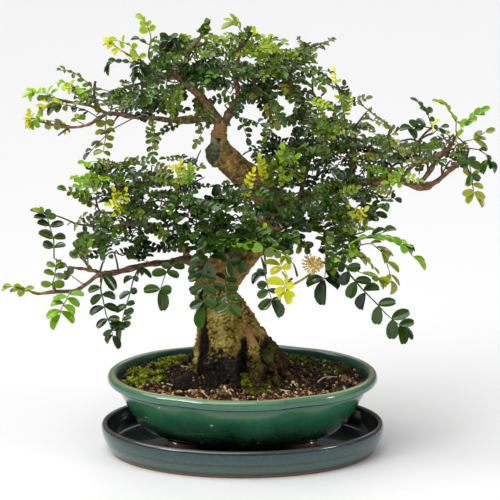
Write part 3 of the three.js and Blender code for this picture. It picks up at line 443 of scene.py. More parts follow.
def glazeGroup():
    # shared by pot and saucer: drifting tone, fine crystals, pale chips and a soft wave for the normal
    sizes = {"Drift Scale": "Float", "Crystal Scale": "Float", "Chip Amount": "Float"}
    results = ("Drift", "Crystals", "Chips", "Height")
    group, start, end = newTree("glazeSurface", "Shader", {"Vector": "Vector", **sizes},
                                {name: "Float" for name in results})
    vector = start["Vector"]
    drift = noiseNode(vector, start["Drift Scale"], 5, 0.6, 0.6)
    crystals = noiseNode(vector, start["Crystal Scale"], 3, 0.7)
    cells = cellNode(vector, 105.0)
    edge = plus(cells["Distance"], times(noiseNode(vector, 900.0, 3, 0.7), 0.28))
    rare = mathNode("LESS_THAN", cells["Color"], times(start["Chip Amount"], 0.3))
    chips = times(spread(edge, 0.30, 0.24), rare, True)
    height = minus(times(drift, 0.6), times(chips, 0.5))
    fillInputs(end, dict(zip(results, (drift, crystals, chips, height))))
    return group


def insideMask(where, height, reaches, edges, lowest):
    # 1 within an oval seen from above, at reaches in x and y, and over a lowest height
    across = addNode("ShaderNodeVectorMath", {0: where, 1: (1 / reaches[0], 1 / reaches[1], 0.0)},
                     operation="MULTIPLY")
    reach = addNode("ShaderNodeVectorMath", {0: across.outputs[0]}, operation="LENGTH").outputs["Value"]
    return times(spread(reach, *edges), mathNode("GREATER_THAN", height, lowest))


def potGlazeMaterial():
    material, tree, where = startMaterial("greenGlaze")
    height = heightOf(where)
    drift, crystals, chips, wave = useGroup(tree, glazeSurface, {
        "Vector": where, "Drift Scale": 22.0, "Crystal Scale": 520.0, "Chip Amount": 0.8})
    # the green is darker towards the bottom and thin and pale over the lip; the dark band just under the lip is painted
    # shade in the groove
    wavy = plus(height, times(minus(drift, 0.5), 0.010))
    body = rampNode(spread(wavy, 0.014, 0.0665), {
        0.0: "081a10", 0.10: "0c2418", 0.30: "123824", 0.52: "1e5238", 0.68: "2e6c4a", 0.76: "265c42",
        # the dark stops at 0.805 and 0.835 are the painted shade in the groove under the lip
        0.805: "123526", 0.835: "163c2c", 0.86: "33694f", 0.89: "275a42", 0.93: "33654b", 0.965: "437356",
        1.0: "6c8260"})
    body = paint(body, spread(drift, 0.42, 0.68), "3d7c58", 0.45)
    body = paint(body, spread(crystals, 0.5, 0.75), "5b8c72", 0.22)
    body = paint(body, spread(plus(height, times(crystals, 0.0012)), 0.0656, 0.0666), "a8a070", 0.6)
    # the inside of the lip is painted a darker teal: partly the glaze's own teal, partly painted shade
    body = paint(body, insideMask(where, height, (0.1037, 0.0760), (1.0, 0.965), 0.0575), "214a42")
    body = paint(body, chips, "c9c7b4", 0.85)
    # the feet are bare clay
    bare = spread(height, 0.0150, 0.0146)
    body = paint(body, bare, mixColour(crystals, "4a2c1e", "6f4630"))
    rough = plus(spread(crystals, 0.3, 0.7, 0.13, 0.2), times(chips, 0.5))
    return endMaterial(material, body, larger(rough, times(bare, 0.75)), wave, 0.25, 2, coat=0.6, coatRoughness=0.06)


def saucerGlazeMaterial():
    material, tree, where = startMaterial("blueGlaze")
    height = heightOf(where)
    drift, crystals, chips, wave = useGroup(tree, glazeSurface, {
        "Vector": where, "Drift Scale": 18.0, "Crystal Scale": 600.0, "Chip Amount": 0.3})
    flat = addNode("ShaderNodeMapping", {"Vector": where, "Scale": (12.0, 12.0, 420.0)}).outputs[0]
    streaks = noiseNode(flat, 1.0, 5, 0.65)
    wavy = plus(height, times(minus(streaks, 0.5), 0.006))
    body = rampNode(spread(wavy, 0.0, 0.024), {
        0.0: "22382f", 0.16: "2f4e44", 0.30: "37584c", 0.42: "305147", 0.50: "1a3533", 0.58: "2e4f4b",
        0.76: "224244", 0.90: "172e34", 1.0: "344644"})
    body = paint(body, spread(crystals, 0.5, 0.8), "748579", 0.3)
    # the inside, under the pot, is painted almost black as shade
    paintedShadeInside = mixColour(spread(drift, 0.4, 0.7), "0b1413", "182826")
    body = paint(body, insideMask(where, height, (0.1100, 0.0740), (1.003, 0.985), 0.003), paintedShadeInside)
    body = paint(body, spread(plus(height, times(streaks, 0.001)), 0.0236, 0.0242), "54402e", 0.85)
    foot = spread(plus(height, times(streaks, 0.0016)), 0.0034, 0.0026)
    body = paint(body, foot, "7a4630")
    rough = larger(spread(crystals, 0.3, 0.7, 0.12, 0.2), times(foot, 0.7))
    return endMaterial(material, body, rough, wave, 0.25, 2, coat=0.5, coatRoughness=0.05)


def makeFoot(foot, sideX, sideY, material):
    corners, sides = [], foot["sides"]
    for inset, rise in foot["profile"]:
        taper = 1 - foot["taper"] * (1 - rise / (foot["top"] - foot["bottom"]))
        radius = foot["radius"] * taper - inset
        for s in range(sides):
            angle = fullTurn * s / sides
            corners.append(((sideX * foot["x"] + radius * foot["stretch"] * math.cos(angle)) * mm,
                            (sideY * foot["y"] + radius * math.sin(angle)) * mm, (foot["bottom"] + rise) * mm))
    rings = len(foot["profile"]) - 1
    return newMesh("foot", corners, ringFaces(rings, sides) + capFaces(rings, sides), material)


def makePot(settings):
    material = potGlazeMaterial()
    body = ringMesh("potBody", settings, material)
    for sideX in (-1, 1):
        for sideY in (-1, 1):
            joinPieces(body, makeFoot(settings["foot"], sideX, sideY, material))
    # the drainage holes
    for sideX in (-1, 1):
        bpy.ops.mesh.primitive_cylinder_add(vertices=40, radius=settings["holeRadius"] * mm, depth=0.02,
                                            location=(sideX * settings["holeSpacing"] * mm, 0, 0.018))
        cutter = bpy.context.object
        cut = body.modifiers.new("drain", "BOOLEAN")
        cut.operation, cut.object, cut.solver = "DIFFERENCE", cutter, "EXACT"
        body = evaluatedCopy(body, "potBody")
        bpy.data.objects.remove(cutter)
    finishPiece(body, "potBody", "pot_glaze", "pot")


glazeSurface = glazeGroup()
bpy.ops.object.select_all(action="DESELECT")
makePot(pot)
finishPiece(ringMesh("saucerDish", saucer, saucerGlazeMaterial()), "saucerDish", "saucer_glaze", "saucer")
print("pot and saucer made")

# the branches of the source: thickness at both ends, and route
branches = {
    "leftLeader": (3.4, 2.2, [(-17, -2, 268), (-25, -4, 283), (-34, -8, 294), (-44, -12, 304), (-53, -16, 313)]),
    "upTwig": (1.6, 1, [(-48, -14, 310), (-40, -15, 328), (-32, -15, 339)]),
    "leftLeaderLow": (1.5, 0.9, [(-45, -13, 306), (-59, -18, 310), (-70, -20, 307), (-79, -22, 304)]),
    "rightLeader": (3.2, 2, [(-14, 0, 269), (-9, 2, 278), (-2, 6, 288), (8, 10, 294), (19, 16, 298)]),
    "topTwig": (1.7, 1, [(-2, 4, 288), (-5, -10, 306), (-3, -16, 322), (-2, -20, 332)]),
    "rightLeaderUp": (1.6, 1, [(8, 10, 294), (11, 0, 312), (15, -5, 325), (19, -8, 332)]),
    "leftArm": (2.1, 1.4, [(-24, -4, 275), (-31, -6, 274), (-56, -10, 274), (-65, -10, 275), (-78, -9, 277),
        (-88, -8, 276), (-97, -8, 278), (-106, -8, 279)]),
    "leftArmOut": (1.3, 0.8, [(-106, -8, 279), (-119, -6, 285), (-135, -4, 287), (-147, -4, 290)]),
    "leftArmLow": (1.3, 0.7, [(-106, -8, 279), (-112, -10, 275), (-121, -12, 270), (-137, -12, 269), (-156, -10, 273),
        (-164, -8, 275)]),
    "deadStub": (1.3, 1, [(-112, -7, 282), (-115, -9, 293), (-114, -10, 305)]),
    "rightArm": (4.4, 1.6, [(22, 8, 195), (40, 10, 202), (55, 6, 210), (73, 0, 217), (91, -4, 223), (109, -8, 226),
        (123, -10, 226), (140, -12, 221), (152, -14, 225), (163, -15, 235), (170, -16, 242)]),
    "rightArmUp": (2, 1.4, [(138, -12, 222), (146, -12, 233), (153, -12, 244), (161, -12, 251), (165, -12, 258)]),
    "rightArmMid": (1.7, 1.2, [(123, -10, 226), (132, -12, 236), (139, -14, 245)]),
    "rightPost": (1.8, 1.3, [(85, -4, 222), (86, -4, 237), (86, -5, 249)]),
    "rightInner": (2.2, 1.5, [(46, 9, 205), (48, 2, 220), (51, -4, 235)]),
    "lowLeft": (2.7, 0.9, [(-23, -4, 153), (-43, -14, 163), (-59, -18, 161), (-78, -22, 160), (-100, -26, 155),
        (-112, -28, 154), (-123, -28, 146), (-132, -28, 140), (-148, -28, 140), (-161, -26, 138),
        (-169, -24, 140)]),
    "midLeft": (2, 1.1, [(-43, -14, 162), (-49, -18, 177), (-61, -22, 185), (-74, -26, 193), (-79, -28, 203),
        (-96, -26, 203), (-111, -24, 203)]),
    "midLeftLow": (1.3, 0.9, [(-72, -26, 192), (-85, -26, 194), (-104, -26, 192), (-118, -26, 193)]),
    "lowStub": (1.3, 1, [(-112, -28, 156), (-123, -30, 159), (-137, -32, 161)]),
    "lowCutStub": (1.3, 1.1, [(-118, -29, 157), (-124, -30, 166), (-130, -30, 176)]),
    "rightLow": (2, 1.3, [(63, 4, 210), (70, -8, 206), (76, -14, 199), (79, -18, 189), (79, -22, 174)]),
}
trunk = {
    # middle and radius, from the soil up
    "route": [(-9, 0, 41, 25), (-9, 0, 60, 29), (-9, 0, 72, 29), (-11, 0, 87, 27), (-12, 0, 101, 25.5),
              (-17, 0, 117, 20), (-22, 0, 130, 16), (-20, 1, 142, 17), (-9, 4, 154, 16), (4, 8, 167, 14),
              (17, 10, 181, 13.5), (24, 10, 196, 13), (19, 8, 210, 12), (8, 4, 223, 11.5), (-5, 0, 234, 11),
              (-14, -2, 244, 9.8), (-18, -3, 254, 7.6), (-18, -3, 262, 6.2), (-16, -2, 270, 5.2), (-15, -1, 273, 3)],
    "sides": 48, "steps": 160, "voxel": 0.85,
    # a branch at least this thick melts into the trunk with its first stretch
    "thickBranch": 2.6,
}
# thick roots: thickness at both ends, and route
roots = [
    (5.6, 4, [(-2, -12, 106), (6, -22, 95), (9, -28, 82), (11, -34, 68), (14, -41, 54)]),
    (9, 3.5, [(0, -2, 92), (14, -5, 83), (28, -9, 70), (44, -13, 56)]),
    (8.5, 4, [(-22, -6, 78), (-36, -15, 67), (-50, -22, 61), (-64, -28, 55)]),
    (10, 4.5, [(-2, 10, 88), (12, 24, 73), (26, 38, 58)]), (10, 4.5, [(-22, 10, 86), (-36, 25, 71), (-48, 38, 58)]),
    (9, 4.5, [(-18, -12, 86), (-22, -25, 71), (-27, -38, 58)]), (4, 2.5, [(16, -16, 88), (24, -24, 72), (30, -32, 58)]),
    (5, 3, [(-8, -20, 84), (-6, -31, 70), (-4, -40, 57)]),
    (5, 3, [(-30, -8, 104), (-34, -13, 86), (-37, -20, 70), (-40, -27, 58)]),
    (3, 2.2, [(20, -2, 92), (30, 4, 80), (41, 6, 66)]),
]
# lumps that the tubes don't give: middle and reaches
lumps = [((-21.5, -5, 246), (8.2, 6.5, 10.5)), ((-19, -4, 262), (6.4, 5.5, 4)), ((4, -18, 103), (5, 5, 5)),
         ((-24, -20, 76), (10, 10, 12)), ((-12, -24, 70), (10, 9, 11)), ((20, -6, 87), (8, 7, 7)),
         ((29, -8, 76), (8, 7, 7)), ((14, -4, 96), (5, 6, 8)), ((-46, -30, 61), (14, 10, 8)),
         ((-2, -24, 88), (5, 5, 9)), ((13, -30, 74), (6, 6, 9)), ((27, 2, 77), (7, 6, 6))]


def tubeParts(route, radiusAt, sides, steps):
    # rings along a smooth route, closed at both ends
    spots = [routePoint(route, k / steps) for k in range(steps + 1)]
    across = Vector((0, 1, 0))
    corners = []
    for k, spot in enumerate(spots):
        along = (spots[min(k + 1, steps)] - spots[max(k - 1, 0)]).normalized()
        across = (across - along * across.dot(along)).normalized()
        beside = along.cross(across)
        for s in range(sides):
            angle = fullTurn * s / sides
            radius = radiusAt(k / steps, angle)
            corners.append(spot + across * (radius * math.cos(angle)) + beside * (radius * math.sin(angle)))
    return corners, ringFaces(steps, sides) + capFaces(steps, sides)


def lumpParts(middle, reaches):
    shape = bmesh.new()
    bmesh.ops.create_icosphere(shape, subdivisions=3, radius=1)
    corners = [Vector(middle) + v.co * Vector(reaches) for v in shape.verts]
    faces = [tuple(v.index for v in face.verts) for face in shape.faces]
    shape.free()
    return corners, faces


def gatheredMesh(name, parts, material):
    corners, faces = [], []
    for more, rings in parts:
        faces += [tuple(k + len(corners) for k in face) for face in rings]
        corners += more
    return newMesh(name, [c * mm for c in corners], faces, material)


def middleAt(z):
    # the trunk's middle and thickness at a height
    route = trunk["route"]
    z = max(route[0][2], min(route[-1][2], z))
    a, b = next(pair for pair in zip(route, route[1:]) if pair[0][2] <= z <= pair[1][2])
    return [between(a[k], b[k], (z - a[2]) / (b[2] - a[2])) for k in (0, 1, 3)]


def cells(spot, size, stretch):
    # how far a spot lies from the cracks between bark plates: 0 in a crack, up to about 1 on a plate
    near = noise.voronoi(Vector((spot.x / size, spot.y / size, spot.z / size / stretch)))[0]
    return near[1] - near[0], near[0]


barkZones = ("wet", "cork", "green", "pink", "wound", "rim", "hollowShade", "earthy")


def barkAt(spot):
    # height of the bark over the plain wood in mm, and the share of each of its zones
    x, y, z = spot
    middleX, middleY, radius = middleAt(z)
    turn = math.degrees(math.atan2(y - middleY, x - middleX))
    rough = noise.fractal(spot * 0.09, 0.9, 2.1, 4)
    fine = noise.fractal(spot * 0.32 + Vector((7, 3, 1)), 0.8, 2.2, 4)
    wander = 7 * noise.noise(spot * 0.07) + 4 * noise.noise(spot * 0.21)
    front = fade(y, -14, -18)
    # wet and black: the foot, a strip up the left and a crack beside the ridge in front
    strip = fade(abs(turn + 141 + wander * 1.3), 17, 9) * fade(z, 143, 136)
    crack = fade(abs(x - 1 - 0.12 * (98 - z) - wander * 0.25), 4.5, 1.5) * fade(z, 104, 98) * fade(y, -12, -16)
    ridge = fade(abs(x - 9), 8, 4) * front * fade(z, 62, 68) * fade(z, 117, 111)
    wet = max(fade(z + wander * 1.6 + 7 * fine - 0.12 * (x + 16), 93, 86), strip, crack) * (1 - 0.85 * ridge)
    wet *= 1 - 0.9 * fade(x + 0.2 * wander, -34, -36) * fade(z + wander, 70, 80)
    # earthy: what runs out to the sides
    sideways = x + wander * 0.4
    earthy = max(fade(sideways, 12, 18) * fade(z, 100, 92), fade(sideways, -36, -42))
    earthy *= 1 - fade(y, -22, -30) * fade(x, -30, -36)
    earthy = max(earthy, 0.9 * fade(sideways, -2, 3) * fade(z + 0.6 * wander, 93, 86))
    # corky plates low down, which come off in a pink strip
    low = fade(z, 152, 128)
    plate, core = cells(spot + Vector((fine, rough, fine)) * 0.7, 2.7, 1.2)
    big, bigCore = cells(spot + Vector((rough, fine, rough)) * 1.5, 6.4, 1.2)
    pink = fade(abs(x - 6 - 0.2 * (106 - z) - 0.3 * wander), 5, 2.5)
    pink *= fade(abs(z - 103 - 0.3 * wander), 10, 6) * front
    pink += fade((spot - Vector((11, -32, 88))).length, 5, 3) * 0.6
    # the old cut leans to the left, with a knot above it and a wrinkled collar under the fork
    cutX, cutZ, lean, rise = x + 23.4, z - 247.5, 0.32, 0.947
    alongCut, acrossCut = cutX * lean + cutZ * rise, cutX * rise - cutZ * lean
    cut = (alongCut / 13) ** 2 + ((acrossCut + 0.5 * fine) / 5.9) ** 2 + 0.12 * rough
    wound = fade(cut, 1.08, 0.9) * fade(y, -1, -4)
    rim = fade(abs(cut - 1.16), 0.24, 0.06) * fade(y, -1, -4) * fade(acrossCut + fine, -3, 2)
    ring = math.sqrt(((x + 18.2) / 5.2) ** 2 + ((z - 258.2 + 0.1 * (x + 18)) / 3.9) ** 2) + 0.10 * fine
    knot = max(fade(abs(ring - 1), 0.22, 0.05), 0.7 * fade(abs(ring - 0.62), 0.16, 0.04)) * fade(y, -2, -5)
    hollow = fade(ring, 0.55, 0.3) * fade(y, -2, -5)
    collar = fade(z, 260.5, 263.5) * fade(z, 272, 269) * fade(y, -1, -4)
    pink = min(1, max(pink, collar * fade(ring, 1.1, 1.3)))
    cork = low * (1 - wet) * (1 - pink)
    height = 1.1 * rough + 0.55 * fine
    height += cork * (1.9 * fade(plate, 0.0, 0.3) - 1.2 + 0.9 * fade(big, 0.0, 0.2) - 0.5)
    height += wet * (2.6 * (0.6 - bigCore) + 1.7 * (0.55 - core) + 1.2 * rough - 3.2 * max(crack, 0.5 * strip))
    height += (1 - low) * (0.25 * fade(plate, 0.0, 0.2) - 0.2) * (1 - wound)
    height = between(height, 0.4 * rough, 0.75 * pink)
    height = between(height, -1.2 + 0.3 * fine + 0.5 * fade(big, 0, 0.1), wound)
    height += 0.7 * rim + 0.7 * knot - 1.6 * hollow
    height += 0.5 * collar * math.sin(z * 3.1 + 0.09 * (x + 17) ** 2 + 2 * rough)
    # the low places of the bark get painted shade
    hollowShade = fade(height, 0.3, -1.4)
    # green growth on the foot, on the ridge and round the cut
    green = fade(noise.noise(spot * 0.11 + Vector((20, 0, 5))) + (ridge * 0.25), 0.05, 0.35)
    green *= fade(z, 100, 74) * (1 - 0.6 * wet)
    green = max(green, 0.8 * fade(x, 2, 6) * fade(x, 26, 18) * fade(z, 99, 90) * fade(fine, -0.25, 0.3))
    green = max(green, fade(z, 240, 246) * fade(z, 266, 262) * fade(fine, 0.05, 0.35) * (1 - wound), 0.6 * hollow)
    return height, (min(1, wet), cork, min(1, green), pink, wound, min(1, rim + knot), hollowShade, earthy)


def trunkMaterial():
    material, tree, where = startMaterial("trunkBark")
    zone = {name: attributeValue(tree, name) for name in barkZones}
    height = heightOf(where)
    grain = noiseNode(where, 260.0, 5, 0.65, 0.4)
    mottle = noiseNode(where, 75.0, 4, 0.6, 0.3)
    wide = noiseNode(where, 22.0, 3, 0.5)
    fleck = cellNode(where, 520.0)["Distance"]
    body = rampNode(grain, {0.28: "5c4622", 0.45: "a07d42", 0.58: "c8a25a", 0.75: "e0c384"})
    high = times(spread(height, 0.150, 0.185), spread(mottle, 0.3, 0.62, 0.55, 1))
    body = paint(body, high, rampNode(grain, {0.28: "5c4824", 0.45: "a8854a", 0.58: "d0aa6a", 0.75: "ecd09a"}))
    body = paint(body, spread(wide, 0.5, 0.68), "6f5a34", 0.5)
    body = paint(body, spread(fleck, 0.22, 0.12), "2e2412", 0.45)
    body = paint(body, zone["cork"], rampNode(mottle, {0.30: "6c5a20", 0.46: "ab9744", 0.58: "cdb862", 0.74: "ecdc9c"}))
    body = paint(body, times(zone["green"], spread(grain, 0.35, 0.6)), "5a6a1e")
    body = paint(body, zone["pink"], rampNode(grain, {0.3: "8a5c3a", 0.55: "c08c60", 0.75: "dcb48a"}))
    body = paint(body, zone["wound"], rampNode(mottle, {0.3: "566248", 0.5: "94a27c", 0.7: "ccd4b0"}))
    body = paint(body, zone["rim"], "a08a58", 0.8)
    body = paint(body, zone["wet"], rampNode(grain, {0.3: "070605", 0.5: "181512", 0.62: "362e27", 0.72: "6a5844",
                                                     0.8: "8a6f4e"}))
    earth = rampNode(grain, {0.3: "140d08", 0.48: "352415", 0.6: "5c4026", 0.75: "8d6a40"})
    body = paint(body, zone["earthy"], paint(earth, spread(mottle, 0.5, 0.62), "4d5a14", 0.8))
    # painted shade in the low places of the bark
    body = paint(body, zone["hollowShade"], "120c06", 0.9)
    rough = minus(0.82, times(zone["wet"], spread(grain, 0.4, 0.6, 0.1, 0.42)))
    return endMaterial(material, body, rough, plus(grain, times(fleck, 0.5)), 1.0, 1.8, specular=0.15)


def branchMaterial():
    material, tree, where = startMaterial("branchBark")
    grain = noiseNode(where, 300.0, 5, 0.65, 0.5)
    bark = rampNode(grain, {0.28: "33231a", 0.45: "6d503c", 0.58: "98765a", 0.76: "c4a688"})
    bark = paint(bark, spread(noiseNode(where, 90.0, 3, 0.6), 0.48, 0.66), "6e5a3c", 0.6)
    return endMaterial(material, bark, spread(grain, 0.3, 0.7, 0.75, 0.55), grain, 0.7, 1, specular=0.2)


def trunkTubes(settings):
    route = settings["route"]

    def trunkRadius(share, angle):
        k, t = routeStep(route, share)
        flute = 0.05 * math.sin(3 * angle + 7 * share) + 0.035 * math.sin(5 * angle - 11 * share)
        return between(route[k][3], route[k + 1][3], t) * (0.97 + flute * (1 - 0.6 * share))

    yield tubeParts(route, trunkRadius, settings["sides"], settings["steps"])
    for thick, thin, line in roots:
        phase = random.Random(int(thick * 10 + line[-1][0])).random() * 6
        yield tubeParts(line, lambda share, angle: between(thick, thin, share) * (
            1 + 0.10 * math.sin(9 * share + phase) + 0.08 * math.sin(2 * angle + phase)), 20, 40)
    for thick, thin, line in branches.values():
        if thick > settings["thickBranch"]:
            start = [routePoint(line, k / 40) for k in range(9)]
            yield tubeParts(start, lambda share, angle: between(thick * 1.2, thick * 0.95, share), 20, 24)


def makeTrunk(settings):
    parts = [*trunkTubes(settings), *(lumpParts(*lump) for lump in lumps)]
    piece = gatheredMesh("trunkWood", parts, trunkMaterial())
    melt = piece.modifiers.new("melt", "REMESH")
    melt.mode, melt.voxel_size, melt.use_smooth_shade = "VOXEL", settings["voxel"] * mm, True
    soften = piece.modifiers.new("soften", "SMOOTH")
    soften.factor, soften.iterations = 0.5, 5
    piece = evaluatedCopy(piece, "trunkWood")
    # the bark moves each point out or in, and its zones are kept for the material
    mesh = piece.data
    spots, normals = np.empty((2, len(mesh.vertices) * 3), np.float32)
    mesh.vertices.foreach_get("co", spots)
    mesh.vertex_normals.foreach_get("vector", normals)
    heights, shares = zip(*[barkAt(Vector(spot)) for spot in spots.reshape(-1, 3) / mm])
    moved = (spots.reshape(-1, 3) / mm + normals.reshape(-1, 3) * np.array(heights)[:, None]) * mm
    mesh.vertices.foreach_set("co", moved.astype(np.float32).ravel())
    for name, values in zip(barkZones, zip(*shares)):
        storeValues(piece, name, values)
    mesh.update()
    finishPiece(piece, "trunkWood", "bark", "trunk")
    print("trunk:", len(mesh.polygons), "faces")


def makeBranches():
    parts = []
    for number, (thick, thin, line) in enumerate(branches.values()):
        draw = random.Random(300 + number).random
        knobs = [(draw(), between(0.12, 0.38, draw())) for k in range(2 * len(line))]
        # all but the foot of a branch wanders a little
        bent = [Vector(p) + noise.noise_vector(Vector(p) * 0.9) * (1.3 if k else 0) for k, p in enumerate(line)]

        def radiusAt(share, angle):
            plain = between(thick, thin, share) * (1 + 0.35 * math.exp(-share * 14))
            swell = sum(size * math.exp(-((share - spot) * len(line) * 5) ** 2) for spot, size in knobs)
            wave = 0.05 * math.sin(2 * angle + 20 * share + number) + 0.05 * math.sin(3 * angle - 33 * share)
            return plain * (0.94 + swell + wave) * min(1, 0.45 + (1 - share) * 16)

        parts.append(tubeParts(bent, radiusAt, 14, 16 * (len(line) - 1)))
    piece = gatheredMesh("branchWood", parts, branchMaterial())
    finishPiece(piece, "branchWood", "bark", "trunk")
    print("branches:", len(piece.data.polygons), "faces")


makeTrunk(trunk)
makeBranches()

# the soil, its crumbs and its moss
soil = {
    "edgeHeight": 59.5, "rings": 72, "sides": 220, "inset": 8.6,
    "crumbs": 5000, "grit": 4900, "mossTufts": 4200, "seed": 5,
    # how the block goes on down inside the pot: inset and height
    "below": [(17, 46), (27, 30), (40, 23)],
    # clods of light earth: middle and reaches in x and y
    "clods": [(42, -3, 7, 6), (84, -6, 6, 5)],
}
# moss by place: x, y, reach in x and y, how thick it grows and how bright it is
mossPlaces = [
    (-84, -12, 10, 13, 1.0, 1.0), (-76, 8, 10, 12, 1.0, 1.0), (-64, 30, 12, 12, 0.9, 0.95), (-58, 52, 14, 9, 0.9, 0.9),
    (-70, -14, 8, 7, 0.7, 1.0), (-90, 16, 7, 12, 0.7, 0.8), (-50, 66, 14, 7, 0.8, 0.7), (-12, -22, 9, 6, 0.9, 0.95),
    (-2, -30, 9, 7, 0.9, 0.9), (14, -36, 9, 8, 1.0, 0.8), (22, -26, 7, 6, 0.8, 0.7), (8, -44, 8, 4, 0.7, 0.75),
    (46, 56, 14, 9, 0.8, 0.45), (62, 40, 12, 9, 0.8, 0.5), (76, 20, 12, 9, 0.7, 0.5), (34, 68, 14, 8, 0.8, 0.4),
    (60, 20, 9, 7, 0.5, 0.45), (84, 34, 9, 9, 0.6, 0.4), (48, 6, 7, 5, 0.35, 0.4), (-36, -4, 7, 6, 0.7, 0.9),
    (-20, 50, 14, 12, 0.6, 0.6), (10, 60, 14, 10, 0.5, 0.5), (-30, 30, 8, 8, 0.5, 0.6), (66, -22, 8, 5, 0.25, 0.4),
]


def mound(x, y, middleX, middleY, reachX, reachY):
    return math.exp(-((x - middleX) / reachX) ** 2 - ((y - middleY) / reachY) ** 2)


def mossAt(x, y):
    thick, bright = 0.0, 0.6
    for px, py, rx, ry, amount, light in mossPlaces:
        share = amount * mound(x, y, px, py, rx, ry)
        if share > thick:
            thick, bright = share, light
    ragged = noise.noise(Vector((x * 0.16, y * 0.16, 4))) * 0.5 + noise.noise(Vector((x * 0.45, y * 0.45, 9))) * 0.4
    return fade(thick + ragged, 0.38, 0.62), bright


def soilHeight(x, y):
    ground = soil["edgeHeight"] + 7 * mound(x, y, -12, 0, 52, 38)
    ground += 0.7 * math.sin(0.17 * x + 1) * math.cos(0.21 * y) + 0.5 * math.sin(0.31 * x - 0.27 * y)
    ground += 6.5 * fade(math.hypot((x + 6) / 46, (y + 2) / 36), 1.12, 0.6)
    return ground + 3.2 * mound(x, y, 38, 4, 20, 16) + 3.0 * mound(x, y, -52, -26, 16, 12)


def lumpyHeight(x, y):
    rough = noise.fractal(Vector((x * 0.11, y * 0.11, 2)), 0.8, 2.1, 5)
    near = noise.voronoi(Vector((x * 0.21, y * 0.21, 1)))[0]
    edge = fade(ovalReach(x, y), 0.99, 0.90)
    return soilHeight(x, y) - 1.0 + edge * (2.2 * rough + 2.8 * (0.55 - near[0])) + 1.3 * mossAt(x, y)[0]


def ovalReach(x, y):
    # 1 at the inside of the pot
    return math.hypot(x / (pot["halfLength"] - 10), y / (pot["halfDepth"] - 10))


def soilMaterial():
    material, tree, where = startMaterial("darkSoil")
    grain = noiseNode(where, 420.0, 5, 0.7)
    wide = noiseNode(where, 45.0, 3, 0.6)
    earth = rampNode(grain, {0.3: "080504", 0.44: "2c1d13", 0.56: "705237", 0.72: "b89066"})
    earth = paint(earth, spread(wide, 0.45, 0.62), rampNode(grain, {0.3: "0f0d0c", 0.6: "3a332e", 0.8: "75695c"}))
    green = rampNode(grain, {0.3: "20280a", 0.5: "5c6a14", 0.7: "98a424"})
    earth = paint(earth, attributeValue(tree, "mossy"), green, 0.85)
    return endMaterial(material, earth, spread(wide, 0.4, 0.65, 0.9, 0.6), grain, 1.0, 2, specular=0.12)


def tintMaterial(name, grainScale, detail, roughness, sway, stops):
    # crumbs and moss take their colour from the tint of each point
    material, tree, where = startMaterial(name)
    grain = noiseNode(where, grainScale, detail, roughness)
    tint = plus(attributeValue(tree, "tint"), spread(grain, 0.3, 0.7, -sway, sway))
    return material, tint, grain, rampNode(tint, stops)


def crumbMaterial():
    material, tint, grain, earth = tintMaterial("crumbs", 800.0, 3, 0.7, 0.05, {
        0.0: "050302", 0.3: "150e0a", 0.55: "3f2c1e", 0.7: "7d5b3e", 0.82: "b98a60", 0.92: "deac7a", 1.0: "f0d2ae"})
    return endMaterial(material, earth, spread(tint, 0.0, 0.6, 0.38, 0.9), grain, 0.6, 0.8, specular=0.25)


def mossMaterial():
    material, tint, grain, green = tintMaterial("moss", 300.0, 2, 0.6, 0.15, {
        0.0: "1a2206", 0.3: "465410", 0.6: "808e18", 0.85: "b4be28", 1.0: "d6de4c"})
    return endMaterial(material, green, 0.7, specular=0.25)


def makeSoil(settings):
    rings, sides = settings["rings"], settings["sides"]
    corners, mossy = [], []
    wall = ovalRing(pot, settings["inset"], 0, sides)
    for ring in range(rings + 1):
        share = (ring / rings) ** 0.8
        for x, y, z in wall:
            x, y = x / mm * share, y / mm * share
            corners.append(Vector((x, y, lumpyHeight(x, y))) * mm)
            mossy.append(mossAt(x, y)[0])
    for inset, height in settings["below"]:
        corners += ovalRing(pot, inset, height, sides)
        mossy += [0] * sides
    rings += len(settings["below"])
    floor = tuple(rings * sides + s for s in reversed(range(sides)))
    piece = newMesh("soilGround", corners, [*ringFaces(rings, sides, True), floor], soilMaterial())
    storeValues(piece, "mossy", mossy)
    shape = bmesh.new()
    shape.from_mesh(piece.data)
    bmesh.ops.remove_doubles(shape, verts=shape.verts, dist=1e-6)
    bmesh.ops.recalc_face_normals(shape, faces=shape.faces)
    shape.to_mesh(piece.data)
    shape.free()
    finishPiece(piece, "soilGround", "soil", "soil")


def crumbMesh(name, seed, squash):
    # a small broken lump of earth, 20 faces
    shape = bmesh.new()
    bmesh.ops.create_icosphere(shape, subdivisions=1, radius=0.5)
    draw = random.Random(seed)
    for v in shape.verts:
        v.co *= draw.uniform(0.72, 1.18)
        v.co.z *= squash
    piece = newMesh(name, [], smooth=False)
    shape.to_mesh(piece.data)
    shape.free()
    return piece


def tuftMesh(name, seed, blades):
    # a sprig of moss: short pointed blades that lean out from one foot
    draw = random.Random(seed)
    corners, faces = [], []
    for k in range(blades):
        turn = 6.283 * k / blades + draw.uniform(-0.4, 0.4)
        lean = draw.uniform(0.25, 0.9) if k else 0.05
        tall = draw.uniform(0.6, 1.0)
        out = Vector((math.cos(turn), math.sin(turn), 0))
        side = Vector((-out.y, out.x, 0)) * 0.11
        foot, knee = out * 0.03, out * lean * 0.45 * tall + Vector((0, 0, 0.6 * tall))
        tip = out * lean * tall + Vector((0, 0, 0.95 * tall))
        a = len(corners)
        corners += [foot - side, foot + side, knee + side * 1.3, knee - side * 1.3, tip]
        faces += [(a, a + 1, a + 2, a + 3), (a + 3, a + 2, a + 4)]
    return newMesh(name, corners, faces, smooth=False)


